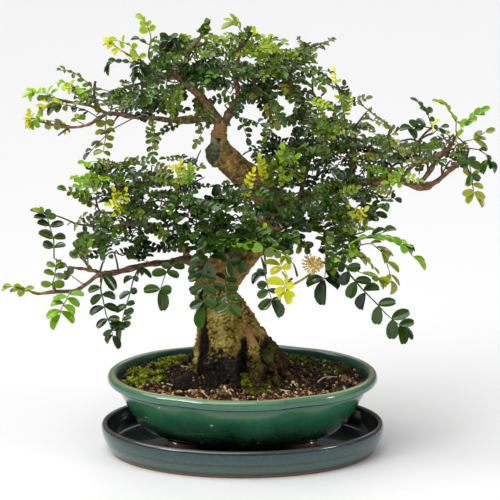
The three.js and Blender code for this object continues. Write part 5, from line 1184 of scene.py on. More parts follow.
# fronds that stand clear of the crown: tone, shade and depth; rib in x and z; each leaflet's place
# along the rib in hundredths, reach in x and z, and width
clearTable = """
mid 0.11 -36 | -147 169, -147 178, -147 184, -149 192, -151 200, -153 205, -156 209 | 17 -8 3 6, 17 9 1 4, 36 -10 5
5, 37 9 0 5, 57 -9 2 4, 56 10 2 5, 71 -10 1 4, 75 7 1 5, 82 -11 3 3, 86 5 1 5;
light 0.5 -37 | -154 206, -157 208 | 0 -8 3 2, 24 -2 4 2;
mid 0.56 -36 | -148 143, -149 148, -147 154, -146 161, -145 169 | 25 -8 2 5, 26 9 0 6, 56 -8 2 4, 56 8 0 5, 80 -7 2
4, 78 8 2 4, 66 6 6 3, 90 4 2 2;
mid 0.38 -32 | -125 147, -134 154, -138 157 | 61 -6 -2 5, 64 1 7 5, 70 -4 3 3;
mid 0.34 -32 | -121 162, -121 175, -121 183, -120 188 | 77 -8 3 5, 81 7 1 5, 53 -8 2 5, 53 9 2 5, 28 -4 2 3, 96 -4 2
2;
mid 0.52 -32 | -121 164, -128 169 | 100 -7 3 5;
light 0.55 -27 | -150 140, -161 139, -171 141, -175 144, -189 144 | 50 -6 -4 5, 55 7 0 3, 60 -10 -2 3, 64 -6 2 2, 86
-8 -3 2, 87 -6 1 2, 74 -5 1 2, 76 4 -4 2;
fresh 0.3 -38 | -135 143, -138 136, -142 129, -143 124 | 22 -11 -2 4, 11 11 -2 3, 27 9 -6 4, 47 -10 -2 3, 53 8 -7 4,
77 -10 -6 5, 80 8 -10 4, 97 -5 -12 6;
dark 0.25 -40 | -109 158, -111 145, -109 137, -107 125, -103 114, -102 107 | 0 9 -12 6, 17 -9 -3 5, 30 -8 -7 5, 30
10 -3 5, 50 -10 -6 5, 47 10 -4 5, 67 -8 -6 5, 67 9 0 5, 73 11 -5 5, 83 -5 -7 5, 96 -4 -8 4, 98 5 -10 5;
dark 0.38 -38 | -80 164, -85 153, -89 138, -93 125, -95 115 | 22 -8 -5 4, 25 4 2 5, 42 -8 -5 4, 43 5 2 5, 61 -8 -5
5, 62 6 2 4, 77 7 4 5, 89 7 2 3, 100 7 3 5, 100 -2 -12 5, 100 -8 -2 5, 5 2 -6 2, 4 9 -7 3;
dark 0.35 -38 | -50 167, -56 163, -60 157, -64 145 | 31 -7 2 5, 25 9 -1 5, 57 -11 -1 6, 58 9 -3 5, 100 -12 -2 6, 100
8 -1 7, 100 2 -16 7;
dark 0.4 -52 | -22 185, -24 178, -26 170 | 52 -11 0 3, 49 12 1 4, 84 -14 -2 5, 71 12 -2 5, 94 -1 -13 9;
dark 0.38 -48 | -27 174, -30 166, -31 158, -30 147, -30 134 | 27 -11 -5 6, 44 -10 -5 6, 47 10 -2 6, 68 -10 -5 7, 68
8 -5 7, 92 -10 -5 6, 90 10 -5 7, 100 -2 -16 8;
dark 0.3 -48 | -9 177, -11 166, -13 155, -13 147, -10 135 | 18 3 -10 6, 49 -7 3 3, 51 8 0 4, 70 -8 2 5, 68 9 -2 5,
86 -8 -5 5, 89 9 -1 5, 100 -10 -5 6, 100 8 -8 7, 18 9 1 5;
dark 0.25 -46 | -9 174, -2 169 | 100 5 -7 5, 77 3 -9 5, 79 6 2 3;
dark 0.23 -44 | 15 172, 18 158, 20 148, 23 138 | 29 -9 -8 3, 56 -7 -2 6, 73 7 -1 4, 74 -8 -5 6, 98 -9 -7 7, 99 7 -2
4, 100 7 -13 7, 35 -6 5 5;
bright 0.3 -58 | -20 185, -12 189, -2 191, 8 189, 17 186, 27 181, 38 174 | 4 5 4 2, 18 0 -5 6, 30 0 -7 8, 43 1 -7 7,
56 1 -8 8, 27 -5 2 2, 39 6 2 2, 60 6 1 2, 73 7 2 3;
mid 0.68 -56 | 17 185, 27 181, 39 174 | 20 0 -8 7, 51 0 -6 5, 69 5 1 3, 82 2 -6 4;
bright 0.35 -56 | 5 191, 12 195, 17 198 | 82 -4 0 4, 90 -2 -6 4, 100 1 4 3, 96 5 -3 5;
young 0.5 -50 | 36 156, 34 161, 30 167 | 100 -12 1 4, 100 5 7 3, 83 -9 -4 5, 90 7 1 5, 100 -1 7 2;
young 0.45 -50 | 36 156, 33 151, 33 146 | 39 -14 1 5, 34 1 5 3, 65 7 2 5, 65 -7 -4 5, 95 3 -10 5, 100 -4 -6 3, 100 7
-4 3;
dark 0.23 -42 | 65 168, 65 160, 64 154 | 94 -13 -6 7, 93 11 -8 6, 100 0 -19 8, 36 10 -8 6;
dark 0.17 -44 | 73 173, 80 167, 84 158, 89 152, 96 144, 105 135, 113 126, 121 119, 124 117 | 17 10 1 7, 8 -1 -8 5,
21 -6 -10 8, 34 12 -1 5, 36 -5 -12 8, 47 12 1 6, 50 -3 -14 7, 64 13 2 6, 65 -1 -14 8, 81 13 5 7, 82 0 -15 9, 95 11 2
6, 97 2 -14 7, 100 9 -10 5;
olive 1.2 -34 | 81 176, 94 180, 101 181, 111 172, 115 159, 117 151 | 47 13 -7 2, 53 8 -5 2, 56 3 -9 4, 69 8 -9 3, 88
7 -8 3, 87 -2 -8 3, 100 0 -11 4, 37 8 0 2;
light 0.6 -38 | 81 176, 86 175, 94 169 | 37 8 -5 3, 67 8 -8 2, 1 -5 -4 3;
olive 1.1 -38 | 86 172, 97 170, 107 157 | 43 4 -4 3, 64 2 -5 2, 79 4 -5 2;
light 0.5 -40 | 79 166, 92 159, 106 154 | 54 12 -3 2, 82 5 -3 4, 100 9 -4 2, 100 6 -6 3, 100 3 -9 2;
bright 0.25 -46 | 81 182, 91 188, 105 190, 116 188, 126 181, 134 172, 141 166 | 14 7 2 4, 23 7 -2 3, 30 8 -2 4, 39 8
-4 4, 48 8 -5 5, 58 7 -2 3, 62 4 -6 5, 63 8 -2 2, 70 4 -5 3, 81 9 -10 2;
dark 0.45 -40 | 85 183, 99 188, 110 191 | 55 10 4 3, 97 10 2 3;
dark 0.3 -44 | 120 186, 126 180 | 100 8 -3 3;
dark 0.25 -40 | 39 183, 49 180 | 99 6 2 5;
dark 0.2 -40 | 45 199, 41 193, 38 183 | 36 9 -1 5, 90 10 1 4, 100 10 -3 4;
mid 0.38 -44 | 65 168, 65 190, 63 200 | 61 -12 3 5, 63 6 -3 4, 36 6 3 6, 38 -8 2 3, 100 -12 3 3, 96 -13 -3 3, 100 10
3 3, 83 6 2 3;
dark 0.3 -26 | 172 247, 176 246, 178 236, 179 230 | 15 -6 0 4, 20 7 0 4, 42 -7 -2 5, 40 9 -4 6, 78 -2 -8 5, 75 7 -5
5;
olive 1.1 -24 | 179 231, 180 224, 181 219 | 0 -6 5 4, 0 6 4 3, 21 -5 -3 4, 36 8 -3 4, 80 -8 -3 5, 96 8 -4 5, 100 -5
-8 5, 100 5 -11 5;
dark 0.35 -22 | 177 254, 184 253, 190 249, 192 244 | 34 6 -1 3, 66 3 -6 3, 90 -3 -11 4, 93 2 -7 3, 100 5 -9 3;
olive 0.8 -16 | 172 258, 181 260, 190 266 | 47 9 -9 2, 52 8 -1 2, 48 6 6 3, 98 7 2 4, 72 -3 2 2;
bright 0.2 -16 | 166 258, 171 269, 177 277, 185 282 | 32 4 7 4, 42 6 4 4, 66 3 4 3, 65 6 -1 5, 83 4 5 5, 87 7 0 4,
100 7 3 4, 11 5 5 3;
light 0.5 -12 | 167 265, 167 274, 162 281, 158 287, 149 290 | 21 -3 5 3, 33 -4 5 2, 51 -3 5 3, 64 -2 4 2, 73 -5 3 3,
85 -6 2 2, 23 5 -3 2;
dark 0.4 -16 | 148 270, 145 278, 143 283, 137 289 | 21 3 2 4, 36 -1 3 2, 52 3 4 5, 57 -5 3 3, 80 -4 4 3, 100 -6 3 2;
dark 0.23 -18 | 148 269, 138 271, 129 269 | 54 -7 4 5, 25 -7 6 4, 83 -9 -2 4, 32 -7 -2 4, 100 6 -7 5;
dark 0.25 -16 | 148 264, 155 270 | 97 6 0 3, 79 4 -4 3, 55 -2 4 3;
young 0.3 -20 | 148 266, 148 272 | 100 6 3 2, 100 -3 2 2;
mid 0.45 -14 | -113 295, -118 302, -123 307, -130 312, -136 314, -143 314 | 91 -4 0 2, 83 -4 3 2, 81 -2 -2 2, 63 -4
1 2, 62 0 -4 3, 45 -3 3 2, 38 -5 0 3, 22 -5 0 3, 16 -2 4 2, 13 -2 -4 2;
fresh 0.8 -14 | -125 291, -128 297, -131 302, -137 304, -142 305 | 61 -4 -1 4, 58 3 3 2, 77 -4 2 2, 90 -3 -4 2, 38 3
2 3, 22 4 3 4, 17 9 3 2, 5 6 2 3, 37 -5 0 2;
young 0.4 -16 | -132 301, -135 300 | 100 -5 0 4, 100 1 -4 2, 2 1 5 2;
fresh 0.9 -14 | -140 289, -149 295, -157 297, -162 296 | 92 -7 2 2, 85 -4 3 2, 100 -8 -4 2, 100 -2 -6 2, 91 -5 -3 3,
73 2 3 2, 51 -1 4 3, 43 4 6 2, 33 6 3 2, 64 -4 -1 2;
mid 0.22 -13 | -149 294, -154 294 | 100 -5 -3 4, 9 -2 -4 5;
young 0.35 -14 | -137 287, -142 289, -149 290, -154 284 | 25 -8 1 3, 74 -7 2 3, 94 -7 0 2, 83 -3 -5 2;
light 0.9 -12 | -140 287, -152 285, -158 282 | 64 -5 -1 3, 95 -1 -3 3, 75 -1 -6 2;
mid 0.3 -10 | -130 284, -141 287 | 100 -11 -3 3, 100 -4 -6 4, 100 -10 -8 3, 61 -2 -4 4;
dark 0.25 -8 | -112 275, -121 281, -130 284, -141 287 | 63 -4 -2 5, 36 -6 0 2, 31 -3 -3 2;
young 0.3 -12 | -153 274, -159 275, -165 275, -166 282 | 82 -1 5 3, 73 -4 2 2, 68 3 4 2, 65 -6 -1 2, 63 -5 -4 3, 62
-2 -7 3, 63 -5 -7 2;
fresh 0.7 -13 | -155 274, -162 275 | 100 -1 -8 4, 95 3 -6 4, 85 5 5 3, 39 -3 3 2;
mid 0.68 -10 | -135 269, -146 273, -156 274 | 69 -3 -6 5, 49 2 -6 5, 87 -4 -1 2, 25 -6 3 2, 33 2 -4 3;
young 0.2 -10 | -138 269, -139 267 | 100 0 -4 2, 45 3 -4 2, 0 -3 3 2;
light 0.5 -9 | -122 269, -130 274, -127 278 | 65 6 -1 3, 100 -4 -1 3, 100 4 -2 3, 62 -4 -1 3;
olive 0.6 -10 | -106 279, -107 268, -107 260, -109 249 | 19 -7 -2 5, 16 6 -3 5, 43 -7 -3 3, 43 7 -1 3, 61 6 -2 4, 83
-7 -3 3, 82 6 -2 4, 99 -7 -3 4, 100 5 -3 3;
dark 0.35 -6 | -83 276, -100 267, -108 260, -116 252, -122 245 | 36 -7 -3 3, 61 -6 -4 3, 83 -5 -2 2, 26 -7 -4 2, 90
-4 -6 2;
light 0.75 -26 | -70 333, -70 343, -72 349, -75 355 | 100 -6 3 4, 94 -1 3 2, 76 -5 2 5, 73 3 4 3, 52 -7 1 5, 50 4 4
4;
young 0.35 -24 | -84 322, -92 330, -100 337 | 98 -7 -2 2, 100 -6 2 2, 98 -1 4 2, 91 -5 -3 3, 67 -5 -2 3, 67 -3 -5 3,
81 -5 2 2, 65 0 -1 3;
light 0.85 -24 | -75 320, -81 328, -86 335, -94 338, -98 339 | 42 1 -6 5, 39 2 4 4, 21 -4 -3 5, 17 5 2 4, 60 3 -1 2,
67 1 5 2, 84 -7 0 3, 74 2 -5 3;
dark 0.3 -22 | -71 335, -74 336, -78 339 | 100 -7 0 2, 40 -5 2 2;
dark 0.33 -24 | -80 320, -90 323, -98 323, -102 320 | 61 -6 0 3, 42 -5 0 3, 22 -5 1 3, 86 -4 -2 2, 92 -4 -7 2, 99 0
-8 2;
dark 0.28 -26 | -78 324, -79 316, -78 308 | 13 -7 -5 3, 32 -5 -5 3, 35 4 -9 3, 68 -5 -7 3, 59 0 -6 3, 94 1 -7 3, 50
-7 -5 2, 10 4 -6 3;
dark 0.25 -22 | -59 331, -58 338, -54 341, -46 339 | 50 -7 3 3, 43 -6 1 4, 54 6 3 3, 90 4 -3 3, 97 4 -5 3, 65 4 -9
4, 26 -5 -3 5, 23 5 -2 5;
mid 0.38 -15 | -32 341, -29 345, -26 349 | 22 -2 4 3, 45 1 4 3, 60 1 6 3, 76 3 6 3, 43 4 1 3;
light 0.8 -16 | -34 339, -26 339, -20 336, -12 332 | 42 1 5 4, 67 0 5 4, 89 1 5 3, 26 -4 1 2;
light 0.8 -19 | 3 333, 1 342, -3 349, -6 352 | 93 -8 3 2, 99 -3 6 2, 76 -1 6 2, 70 -4 3 3, 86 -10 -5 2, 55 -1 6 2;
dark 0.2 -21 | 1 337, -3 342 | 100 -6 -3 4, 100 1 -3 4;
dark 0.25 -20 | 3 334, 5 340, 4 344 | 99 5 -2 4, 54 8 1 3, 47 -2 -4 3;
young 0.5 -20 | 6 335, 8 342 | 100 0 7 2, 95 4 3 2;
"""
# filler foliage: tone and manner; middle, reaches in x, y and z, and how many twigs
clumpTable = """
dark round | -67 -18 324 11 14 6 5, -46 -10 315 12 22 7 6, -39 -6 314 9 20 6 4, -60 34 302 12 14 6 4, -15 -24 319 9
14 7 4, -5 -20 308 9 14 7 4, -5 12 290 9 20 6 3, 21 34 301 11 18 7 4, -4 40 308 12 18 7 5, -28 30 299 9 18 7 3, -24
-12 300 8 12 6 3;
mid flat | -46 -16 329 11 14 5 3, -80 -10 297 11 14 4 3, -103 8 279 9 22 5 3, -118 2 289 11 18 5 4, 33 6 321 9 16 6
4, 39 10 318 9 16 6 4, 49 8 326 8 14 5 3, 27 -4 315 9 18 7 4, 58 -4 268 11 20 6 5, 71 -6 263 9 22 6 4, 85 4 250 12
28 6 5, 135 -4 247 11 22 6 4, 52 8 233 12 26 6 4, 86 12 239 11 28 6 4, 104 16 233 11 26 6 4, 161 -6 247 9 14 6 3,
162 -12 259 8 12 6 3, 94 8 271 8 16 5 2, -99 -26 240 11 16 6 4, -111 -30 217 9 16 6 3, -90 -34 206 11 20 6 4, -95
-20 192 11 24 6 3, -92 18 213 11 20 6 3, -39 -16 239 9 16 5 2, 68 -34 209 9 16 6 4, 87 -20 222 9 16 6 3, 67 -36 164
6 8 5 2;
dark hang | -69 -10 320 9 16 6 3, -67 -24 310 5 6 8 2, -36 -10 291 8 12 6 2, 14 -14 304 8 14 6 3, -20 -46 187 9 12 6
3, -4 -42 185 9 12 6 3, 32 -42 186 9 14 7 4, 32 -40 179 8 12 6 3, 27 -44 185 8 10 6 3, -36 -40 184 8 12 6 3, 78 -38
194 8 12 6 3, 91 -24 204 8 14 6 2;
mid hang | -58 -4 304 12 20 6 4, -112 -4 279 9 16 5 2, 38 12 308 8 16 6 3, 58 -6 291 8 12 6 2, 172 -16 253 6 10 6 2,
45 -44 187 6 10 6 2, 60 -40 176 6 8 5 2;
olive hang | -42 8 294 9 20 6 3, 34 2 300 9 14 6 3, 8 8 284 6 12 6 2, 162 4 235 6 12 4 1, 86 -10 169 9 14 6 2;
mid round | -37 10 325 9 20 6 3, -35 -18 324 9 14 7 4, 15 -4 327 9 16 6 4, 16 -16 313 9 14 7 4, 37 48 310 11 16 7 4;
dark flat | -73 4 279 11 20 6 4, -80 14 284 11 20 5 3, 37 14 305 9 20 6 4, 22 20 240 9 18 6 3, 36 10 249 11 22 6 4,
50 -6 273 11 20 6 5, 40 -2 247 12 26 6 5, 65 0 254 12 28 6 5, 120 -14 257 9 16 6 4, 155 -10 254 9 16 6 3, 30 14 233
11 22 6 4, 69 10 237 12 28 6 5, 51 12 220 11 20 6 3, 76 -22 230 9 14 6 3, 60 14 280 9 18 5 3, -95 -20 238 11 20 5 4,
-67 -22 229 11 22 6 4, -89 -28 220 12 24 6 5, -62 -34 217 11 22 6 5, -56 -24 225 11 22 6 4, -74 -30 208 12 28 6 5,
-63 -36 200 11 24 6 5, -47 -36 221 11 22 6 4, -35 -30 196 9 20 6 4, -80 -14 187 11 24 6 4, -109 -28 181 9 18 6 3,
-91 -30 184 9 16 6 3, -100 -34 173 9 12 5 3, -108 -34 166 6 10 5 2, -80 20 222 14 20 7 4, -60 24 200 12 20 7 4, -36
-34 188 9 14 6 3, -27 -40 194 9 14 6 4, -23 -36 211 9 14 6 4, -3 -30 212 9 16 6 4, 15 -34 220 9 16 6 4, -2 -46 204 9
12 6 4, 6 -46 194 9 12 6 4, 21 -38 201 9 16 7 4, 34 -34 208 9 16 7 4, 51 -30 219 9 16 6 4, -16 -46 183 9 12 6 3, 31
-40 193 9 14 7 4, 53 -38 200 9 16 7 4, 8 -26 227 8 12 5 2, 23 40 207 14 20 8 4, -16 40 196 14 20 8 4, 75 -26 218 9
16 6 3, 92 -30 210 8 12 6 3, 72 -34 232 8 10 5 2;
light round | -2 -10 328 9 16 7 4, 7 -8 331 9 16 7 4;
olive flat | 108 -6 256 11 24 6 5, 99 6 248 12 28 6 5, 111 0 243 11 26 6 4, 127 8 232 9 22 5 3, 141 4 236 9 20 6 3,
147 -2 241 8 16 5 2;
bright flat | 120 -20 230 6 8 5 2;
fresh flat | -111 -32 230 11 18 6 4;
dark rise | -122 -34 177 6 10 6 2;
light hang | -131 -26 194 8 10 5 1;
mid rise | 20 -20 230 8 12 6 2, 79 -38 188 6 10 6 2;
light rise | 31 -24 226 9 14 6 3;
"""
# how the leaves of a clump grow: reach outwards, rise and how much it varies, facing and its sway in x,
# how much they face outwards, and shortest and longest leaf. Flat spreads in layers, hang droops,
# rise stands up and round goes all ways
manners = {
    "flat": (1, 0, (-0.35, 0.25), (0, -0.65, 0.9), 0, 0.2, (19, 29)),
    "hang": (0.45, -1, None, (0, -1, 0.3), 0.5, 0, (24, 36)),
    "rise": (0.6, 1, None, (0, -0.9, 0.5), 0.5, 0, (18, 26)),
    "round": (1, 0, (-0.6, 0.7), (0, -0.9, 0.7), 0, 0.3, (18, 27)),
}

# by name: tone, leaflet length, stems and single leaves
sprays = {}
for (name, tone, leaf), stems, placed in readTable(sprayTable):
    sprays[name] = (tone, float(leaf), [readNumbers(stem) for stem in stems.split("/")], readNumbers(placed))
leaflets = {tone: [] for tone in leafTones}
ribs = {tone: [] for tone in leafTones}
twigs = []
leafDraw = random.Random(leafSettings["seed"])
draw = leafDraw.random


def keepInside(point):
    low, high = leafSettings["lowest"], leafSettings["highest"]
    return Vector([max(low[k], min(high[k], point[k])) for k in range(3)])


def inOpenAir(spot):
    # whether a spot lies in front of or behind a gap, as the camera sees it
    eye = Vector(cameraSettings["place"])
    seen = eye + (spot - eye) * ((leafSettings["gapDepth"] - eye.y) / (spot.y - eye.y))
    if any(left < seen.x < right and low < seen.z < high for left, low, right, high in clearBoxes):
        return True
    return any((seen.x - x) ** 2 + (seen.z - z) ** 2 < radius ** 2 for x, z, radius in openAir)


def addLeaflet(tone, spot, outward, normal, long, wide, shade):
    leaflets[tone].append((spot, outward.normalized(), normal, long, wide, shade, leafDraw.randrange(3)))


def growFrond(tone, base, tip, bow, facing, leaf):
    settings = leafSettings
    tip = keepInside(tip)
    # the leaf stops where a gap in the foliage begins
    clear = next((k for k in range(11) if inOpenAir(base.lerp(tip, k / 10))), 11)
    if clear < 4:
        return
    tip = base.lerp(tip, min(1, (clear - 0.5) / 10))
    chord = tip - base
    length = chord.length
    if length < 4:
        return
    chord.normalize()
    upper = facing - chord * facing.dot(chord)
    if upper.length < 0.05:
        upper = chord.orthogonal()
    upper.normalize()
    bend = (base + tip) / 2 + upper * 2 * bow
    # the rib ends where the end leaflet begins
    longest = leaf * settings["endLeaf"]
    stop = max(0.45, 1 - 0.95 * longest / length)
    pitch = leaf * between(settings["closePitch"], settings["openPitch"], fade(leaf, 5, 9))
    pairs = max(1, round(length * (stop - settings["bare"]) / pitch + 0.3))
    shade = leafDraw.gauss(0.44, 0.28)
    share = leafTones[tone][3]

    def place(t):
        return base * (1 - t) ** 2 + bend * 2 * t * (1 - t) + tip * t * t

    def rising(low, high):
        # the way along the rib, and the upper side there
        along = (place(high) - place(low)).normalized()
        return along, (upper - along * upper.dot(along)).normalized()

    def add(spot, outward, normal, long, wide):
        swing = between(-0.35, 0.35, draw())
        normal = normal + outward.cross(normal) * swing * 0.8
        normal += Vector((draw() - 0.5, draw() - 0.5, draw() - 0.5)) * 0.25
        if not inOpenAir(spot + outward * (0.6 * long)):
            addLeaflet(tone, spot, outward, normal, long, wide, shade + leafDraw.gauss(0, 0.10))

    for index in range(pairs):
        t = between(settings["bare"], stop, (index + 0.5) / (pairs + 0.15))
        along, top = rising(t - 0.03, t + 0.03)
        side = along.cross(top)
        grown = leaf * (0.80 + 0.24 * math.sin(math.pi * min(1, (index + 0.8) / pairs)))
        for hand in (-1, 1):
            # now and then a leaflet is missing
            if draw() < 0.02:
                continue
            splay = math.radians(settings["splay"] + between(-9, 9, draw()) - 10 * index / pairs)
            outward = side * hand * math.sin(splay) + along * math.cos(splay) + top * between(-0.05, 0.3, draw())
            size = grown * between(0.9, 1.08, draw())
            spot = place(t + between(-0.01, 0.01, draw()))
            add(spot, outward, top, size, size * share * between(0.92, 1.08, draw()))
    along, top = rising(stop - 0.06, stop + 0.02)
    add(place(stop), along, top, longest, longest * share * 0.95)
    thick = settings["ribRadius"] * between(0.75, 1.2, (leaf - 4) / 7)
    ribs[tone].append([(place(stop * k / 6), between(thick, settings["ribTip"], k / 6)) for k in range(7)])


def growTwig(route, thick, thin, steps):
    twigs.append([(routePoint(route, k / steps), between(thick, thin, k / steps)) for k in range(steps + 1)])


def sourceDraw(number):
    # the same draws as the source makes for its spray of this number
    state = 41.0 + number * 97
    while True:
        state = math.fmod(state * 1103515245.0 + 12345.0, 2147483648.0)
        yield state / 2147483648.0


def growSprays():
    # each spray grows where its solid in the source does, by the same rules
    for number, (tone, leaf, stems, placed) in enumerate(sprays.values()):
        draws = sourceDraw(number)
        for stem in stems:
            growTwig(stem[1:], leafSettings["twigRadius"], leafSettings["twigTip"], 3 * (len(stem) - 1))
        for stem, share, *tip, bow, front in placed:
            base = stretchPoint(stems[int(stem)][1:], share)
            growFrond(tone, base, Vector(tip), bow, Vector((0, -front, 1 - front)), leaf)
        for (count,), *route in stems:
            if not count:
                continue
            end = routePoint(route, 1)
            heading = end - routePoint(route, 0.5)
            outward = Vector((end.x * 0.4, end.y, 0)).normalized()
            turn = math.atan2(heading.y + outward.y * 2, heading.x + outward.x * 2)
            for index in range(int(count)):
                angle = turn + (0, 0.95, -0.95, 1.7)[index] + (next(draws) - 0.5) * 0.4
                rise = 0.16 - 0.5 * next(draws)
                length = 27 * between(0.85, 1.12, next(draws)) * (1 if index == 0 else 0.6)
                base = stretchPoint(route, 1 - 0.24 * index)
                reach = Vector((math.cos(angle), math.sin(angle), rise)).normalized()
                bow = between(2, 4, next(draws))
                facing = Vector((0, 0, 1)) + outward * (0.35 + 0.3 * next(draws))
                growFrond(tone, base, base + reach * length, bow, facing, leaf)


def woodSpots():
    # the wood that a twig may spring from: branches and the sprays' own stems
    wood = []
    for thick, thin, route in branches.values():
        wood += [routePoint(route, k / (4 * len(route))) for k in range(4 * len(route) + 1)]
    for tone, leaf, stems, placed in sprays.values():
        for stem in stems:
            wood += [routePoint(stem[1:], k / 6) for k in range(7)]
    return wood


def growFootTwig(wood, base, thick, thin, stopAtGap=False):
    # a short twig from the nearest wood to the foot of a leaf that doesn't touch it
    root = min(wood, key=lambda spot: (spot - base).length)
    middle = (root + base) / 2
    if (root - base).length > 1.5 and not (stopAtGap and inOpenAir(middle)):
        growTwig([root, middle + Vector((0, 0, 1)), base], thick, thin, 5)


def growFronds(wood):
    wood = wood + [spot for line in twigs for spot, radius in line]
    for (tone, *numbers), in readTable(frondTable):
        leaf, *spots, bow, front = map(float, numbers)
        base, tip = Vector(spots[:3]), Vector(spots[3:])
        growFootTwig(wood, base, 0.7, 0.45, True)
        growFrond(tone, base, tip, bow, Vector((0, -front, 1 - front)), leaf)


def growClearFronds(wood):
    # each leaflet turns edge-on to the camera as far as its width asks for
    for (tone, shade, depth), rib, blades in readTable(clearTable):
        route = [Vector((x, float(depth), z)) for x, z in readNumbers(rib)]
        blades = readNumbers(blades)
        growFootTwig(wood, route[0], 0.75, 0.5)
        thick = 0.4 + 0.02 * sum(blade[3] for blade in blades) / max(1, len(blades)) ** 0.5
        ribs[tone].append([(stretchPoint(route, k / 12), between(thick, 0.32, k / 12)) for k in range(13)])
        for place, reachX, reachZ, width in blades:
            outward = Vector((reachX, between(-2.5, 2.5, draw()), reachZ))
            long = outward.length
            wide, width = max(width, 0.56 * long) * 1.14, width * 1.14
            spot = stretchPoint(route, place / 100) + outward * 0.03
            facing = Vector((between(-0.2, 0.2, draw()), -1, between(0.0, 0.35, draw())))
            across = outward.normalized().cross(facing.normalized())
            across = across if across.z > 0 else -across
            turn = math.acos(min(1, max(0.2, width / wide)))
            normal = facing * math.cos(turn) + across * math.sin(turn)
            addLeaflet(tone, spot, outward, normal, long * 1.08, wide,
                       float(shade) + leafDraw.gauss(0, 0.12))


def leafLengthAt(x, z):
    # the leaves are largest low down in front of the trunk, and smallest out on the right
    return 5.2 + 3.6 * mound(x, z, 5, 165, 62, 34) - 0.5 * fade(x, 60, 110) * fade(z, 190, 205)


def growClumpLeaf(tone, manner, start, angle, second):
    spin = angle + between(-0.9, 0.9, draw()) + (1.6 if second else 0)
    level = Vector((math.cos(spin), math.sin(spin), 0))
    outwards, rise, varies, faces, sway, facesOut, lengths = manners[manner]
    reach = level * outwards + Vector((0, 0, between(*varies, draw()) if varies else rise))
    facing = Vector(faces) + level * facesOut
    if sway:
        facing.x += between(-sway, sway, draw())
    length = between(*lengths, draw())
    facing += Vector([between(-0.35, 0.35, draw()) for k in range(3)])
    leaf = leafLengthAt(start.x, start.z)
    tip = start + reach.normalized() * (length * (0.5 + 0.085 * leaf))
    growFrond(tone, start, tip, between(0.5, 2.5, draw()), facing, leaf)


def growClumps(wood):
    for (tone, manner), places in readTable(clumpTable):
        for x, y, z, reachX, reachY, reachZ, count in readNumbers(places):
            middle = Vector((x, y, z))
            root = min(wood, key=lambda spot: (spot - middle).length)
            bend = Vector((between(-3, 3, draw()), between(-3, 3, draw()), between(1, 5, draw())))
            growTwig([root, (root + middle) / 2 + bend, middle], 0.95, 0.6, 6)
            for twig in range(int(count)):
                # even turns round the middle, so that the clump fills evenly
                angle = angle + 2.4 + between(-0.4, 0.4, draw()) if twig else 6.28 * draw()
                far = math.sqrt((twig + 0.6) / count)
                end = middle + Vector((reachX * far * math.cos(angle), reachY * far * math.sin(angle),
                                       reachZ * between(-0.8, 0.8, draw())))
                lift = Vector((0, 0, between(-1, 3, draw())))
                if not inOpenAir(end):
                    growTwig([middle, (middle + end) / 2 + lift, end], 0.6, 0.42, 4)
                second = draw() < 0.62
                growClumpLeaf(tone, manner, end, angle, False)
                if second:
                    growClumpLeaf(tone, manner, middle.lerp(end, 0.75), angle, True)


def makeLeaflet(name, cup, droop, skew):
    # one small blade: 2 by 6 faces, an oval that is blunt at its end, with its base at the origin
    rows = [(0.0, 0.10), (0.06, 0.40), (0.20, 0.76), (0.42, 0.98), (0.66, 0.97), (0.86, 0.72), (0.975, 0.34)]
    spots = [(t, wide, k) for t, wide in rows for k in (-1, 0, 1)]
    corners = []
    for t, wide, k in spots:
        tuck = -0.02 if (t > 0.95 and k == 0) else 0
        height = cup * (k * wide) ** 2 - droop * t * t + 0.04 * abs(k) * (t > 0)
        corners.append((k * wide * 0.5 + skew * t * t, t + tuck, height))
    faces = [(a, a + 1, a + 4, a + 3) for row in range(len(rows) - 1) for a in (row * 3, row * 3 + 1)]
    piece = newMesh(name, corners, faces, leafMaterials["dark"])
    storeValues(piece, "along", [t for t, wide, k in spots])
    storeValues(piece, "across", [k for t, wide, k in spots])
    return piece


def leafSurfaceGroup():
    # shared by all tones: mottled green between a deep and a bright colour, with a lighter rib and veins
    group, start, end = newTree("leafSurface", "Shader", {"Deep": "Color", "Bright": "Color", "Vein Light": "Float"},
                                {"Colour": "Color", "Height": "Float"})
    along, side = attributeValue(group, "along"), mathNode("ABSOLUTE", attributeValue(group, "across"))
    where = objectPlace(group)
    mix = plus(attributeValue(group, "shade"), times(minus(noiseNode(where, 420.0, 2, 0.6), 0.5), 0.35), True)
    mix = plus(mix, times(minus(noiseNode(where, 26.0, 2, 0.5), 0.5), 0.5), True)
    blade = mixColour(mix, start["Deep"], start["Bright"])
    comb = mathNode("SINE", times(minus(along, times(side, 0.22)), 48.0))
    rib = spread(side, 0.16, 0.03)
    veins = larger(rib, times(spread(comb, 0.55, 1.0), 0.35))
    blade = mixColour(times(veins, start["Vein Light"]), blade, start["Bright"])
    fillInputs(end, {"Colour": blade, "Height": minus(times(comb, 0.15), rib)})
    return group


def leafMaterial(name, deep, bright, under, rough):
    material, tree, where = startMaterial(name)
    surface, height = useGroup(tree, leafSurface, {
        "Deep": colour(deep), "Bright": colour(bright), "Vein Light": 0.35})
    back = addNode("ShaderNodeNewGeometry", tree=tree).outputs["Backfacing"]
    surface = paint(surface, back, under, 0.6)
    return endMaterial(material, surface, spread(back, 0, 1, rough, 0.65), height, 0.3, 0.4,
                       ior=1.33, coat=0.5, coatRoughness=0.1)


def twigMaterial(name, deep, bright):
    material, tree, where = startMaterial(name)
    mottle = noiseNode(where, 300.0, 3, 0.6)
    return endMaterial(material, mixColour(spread(mottle, 0.35, 0.65), deep, bright), 0.6, mottle, 0.4, 0.5)


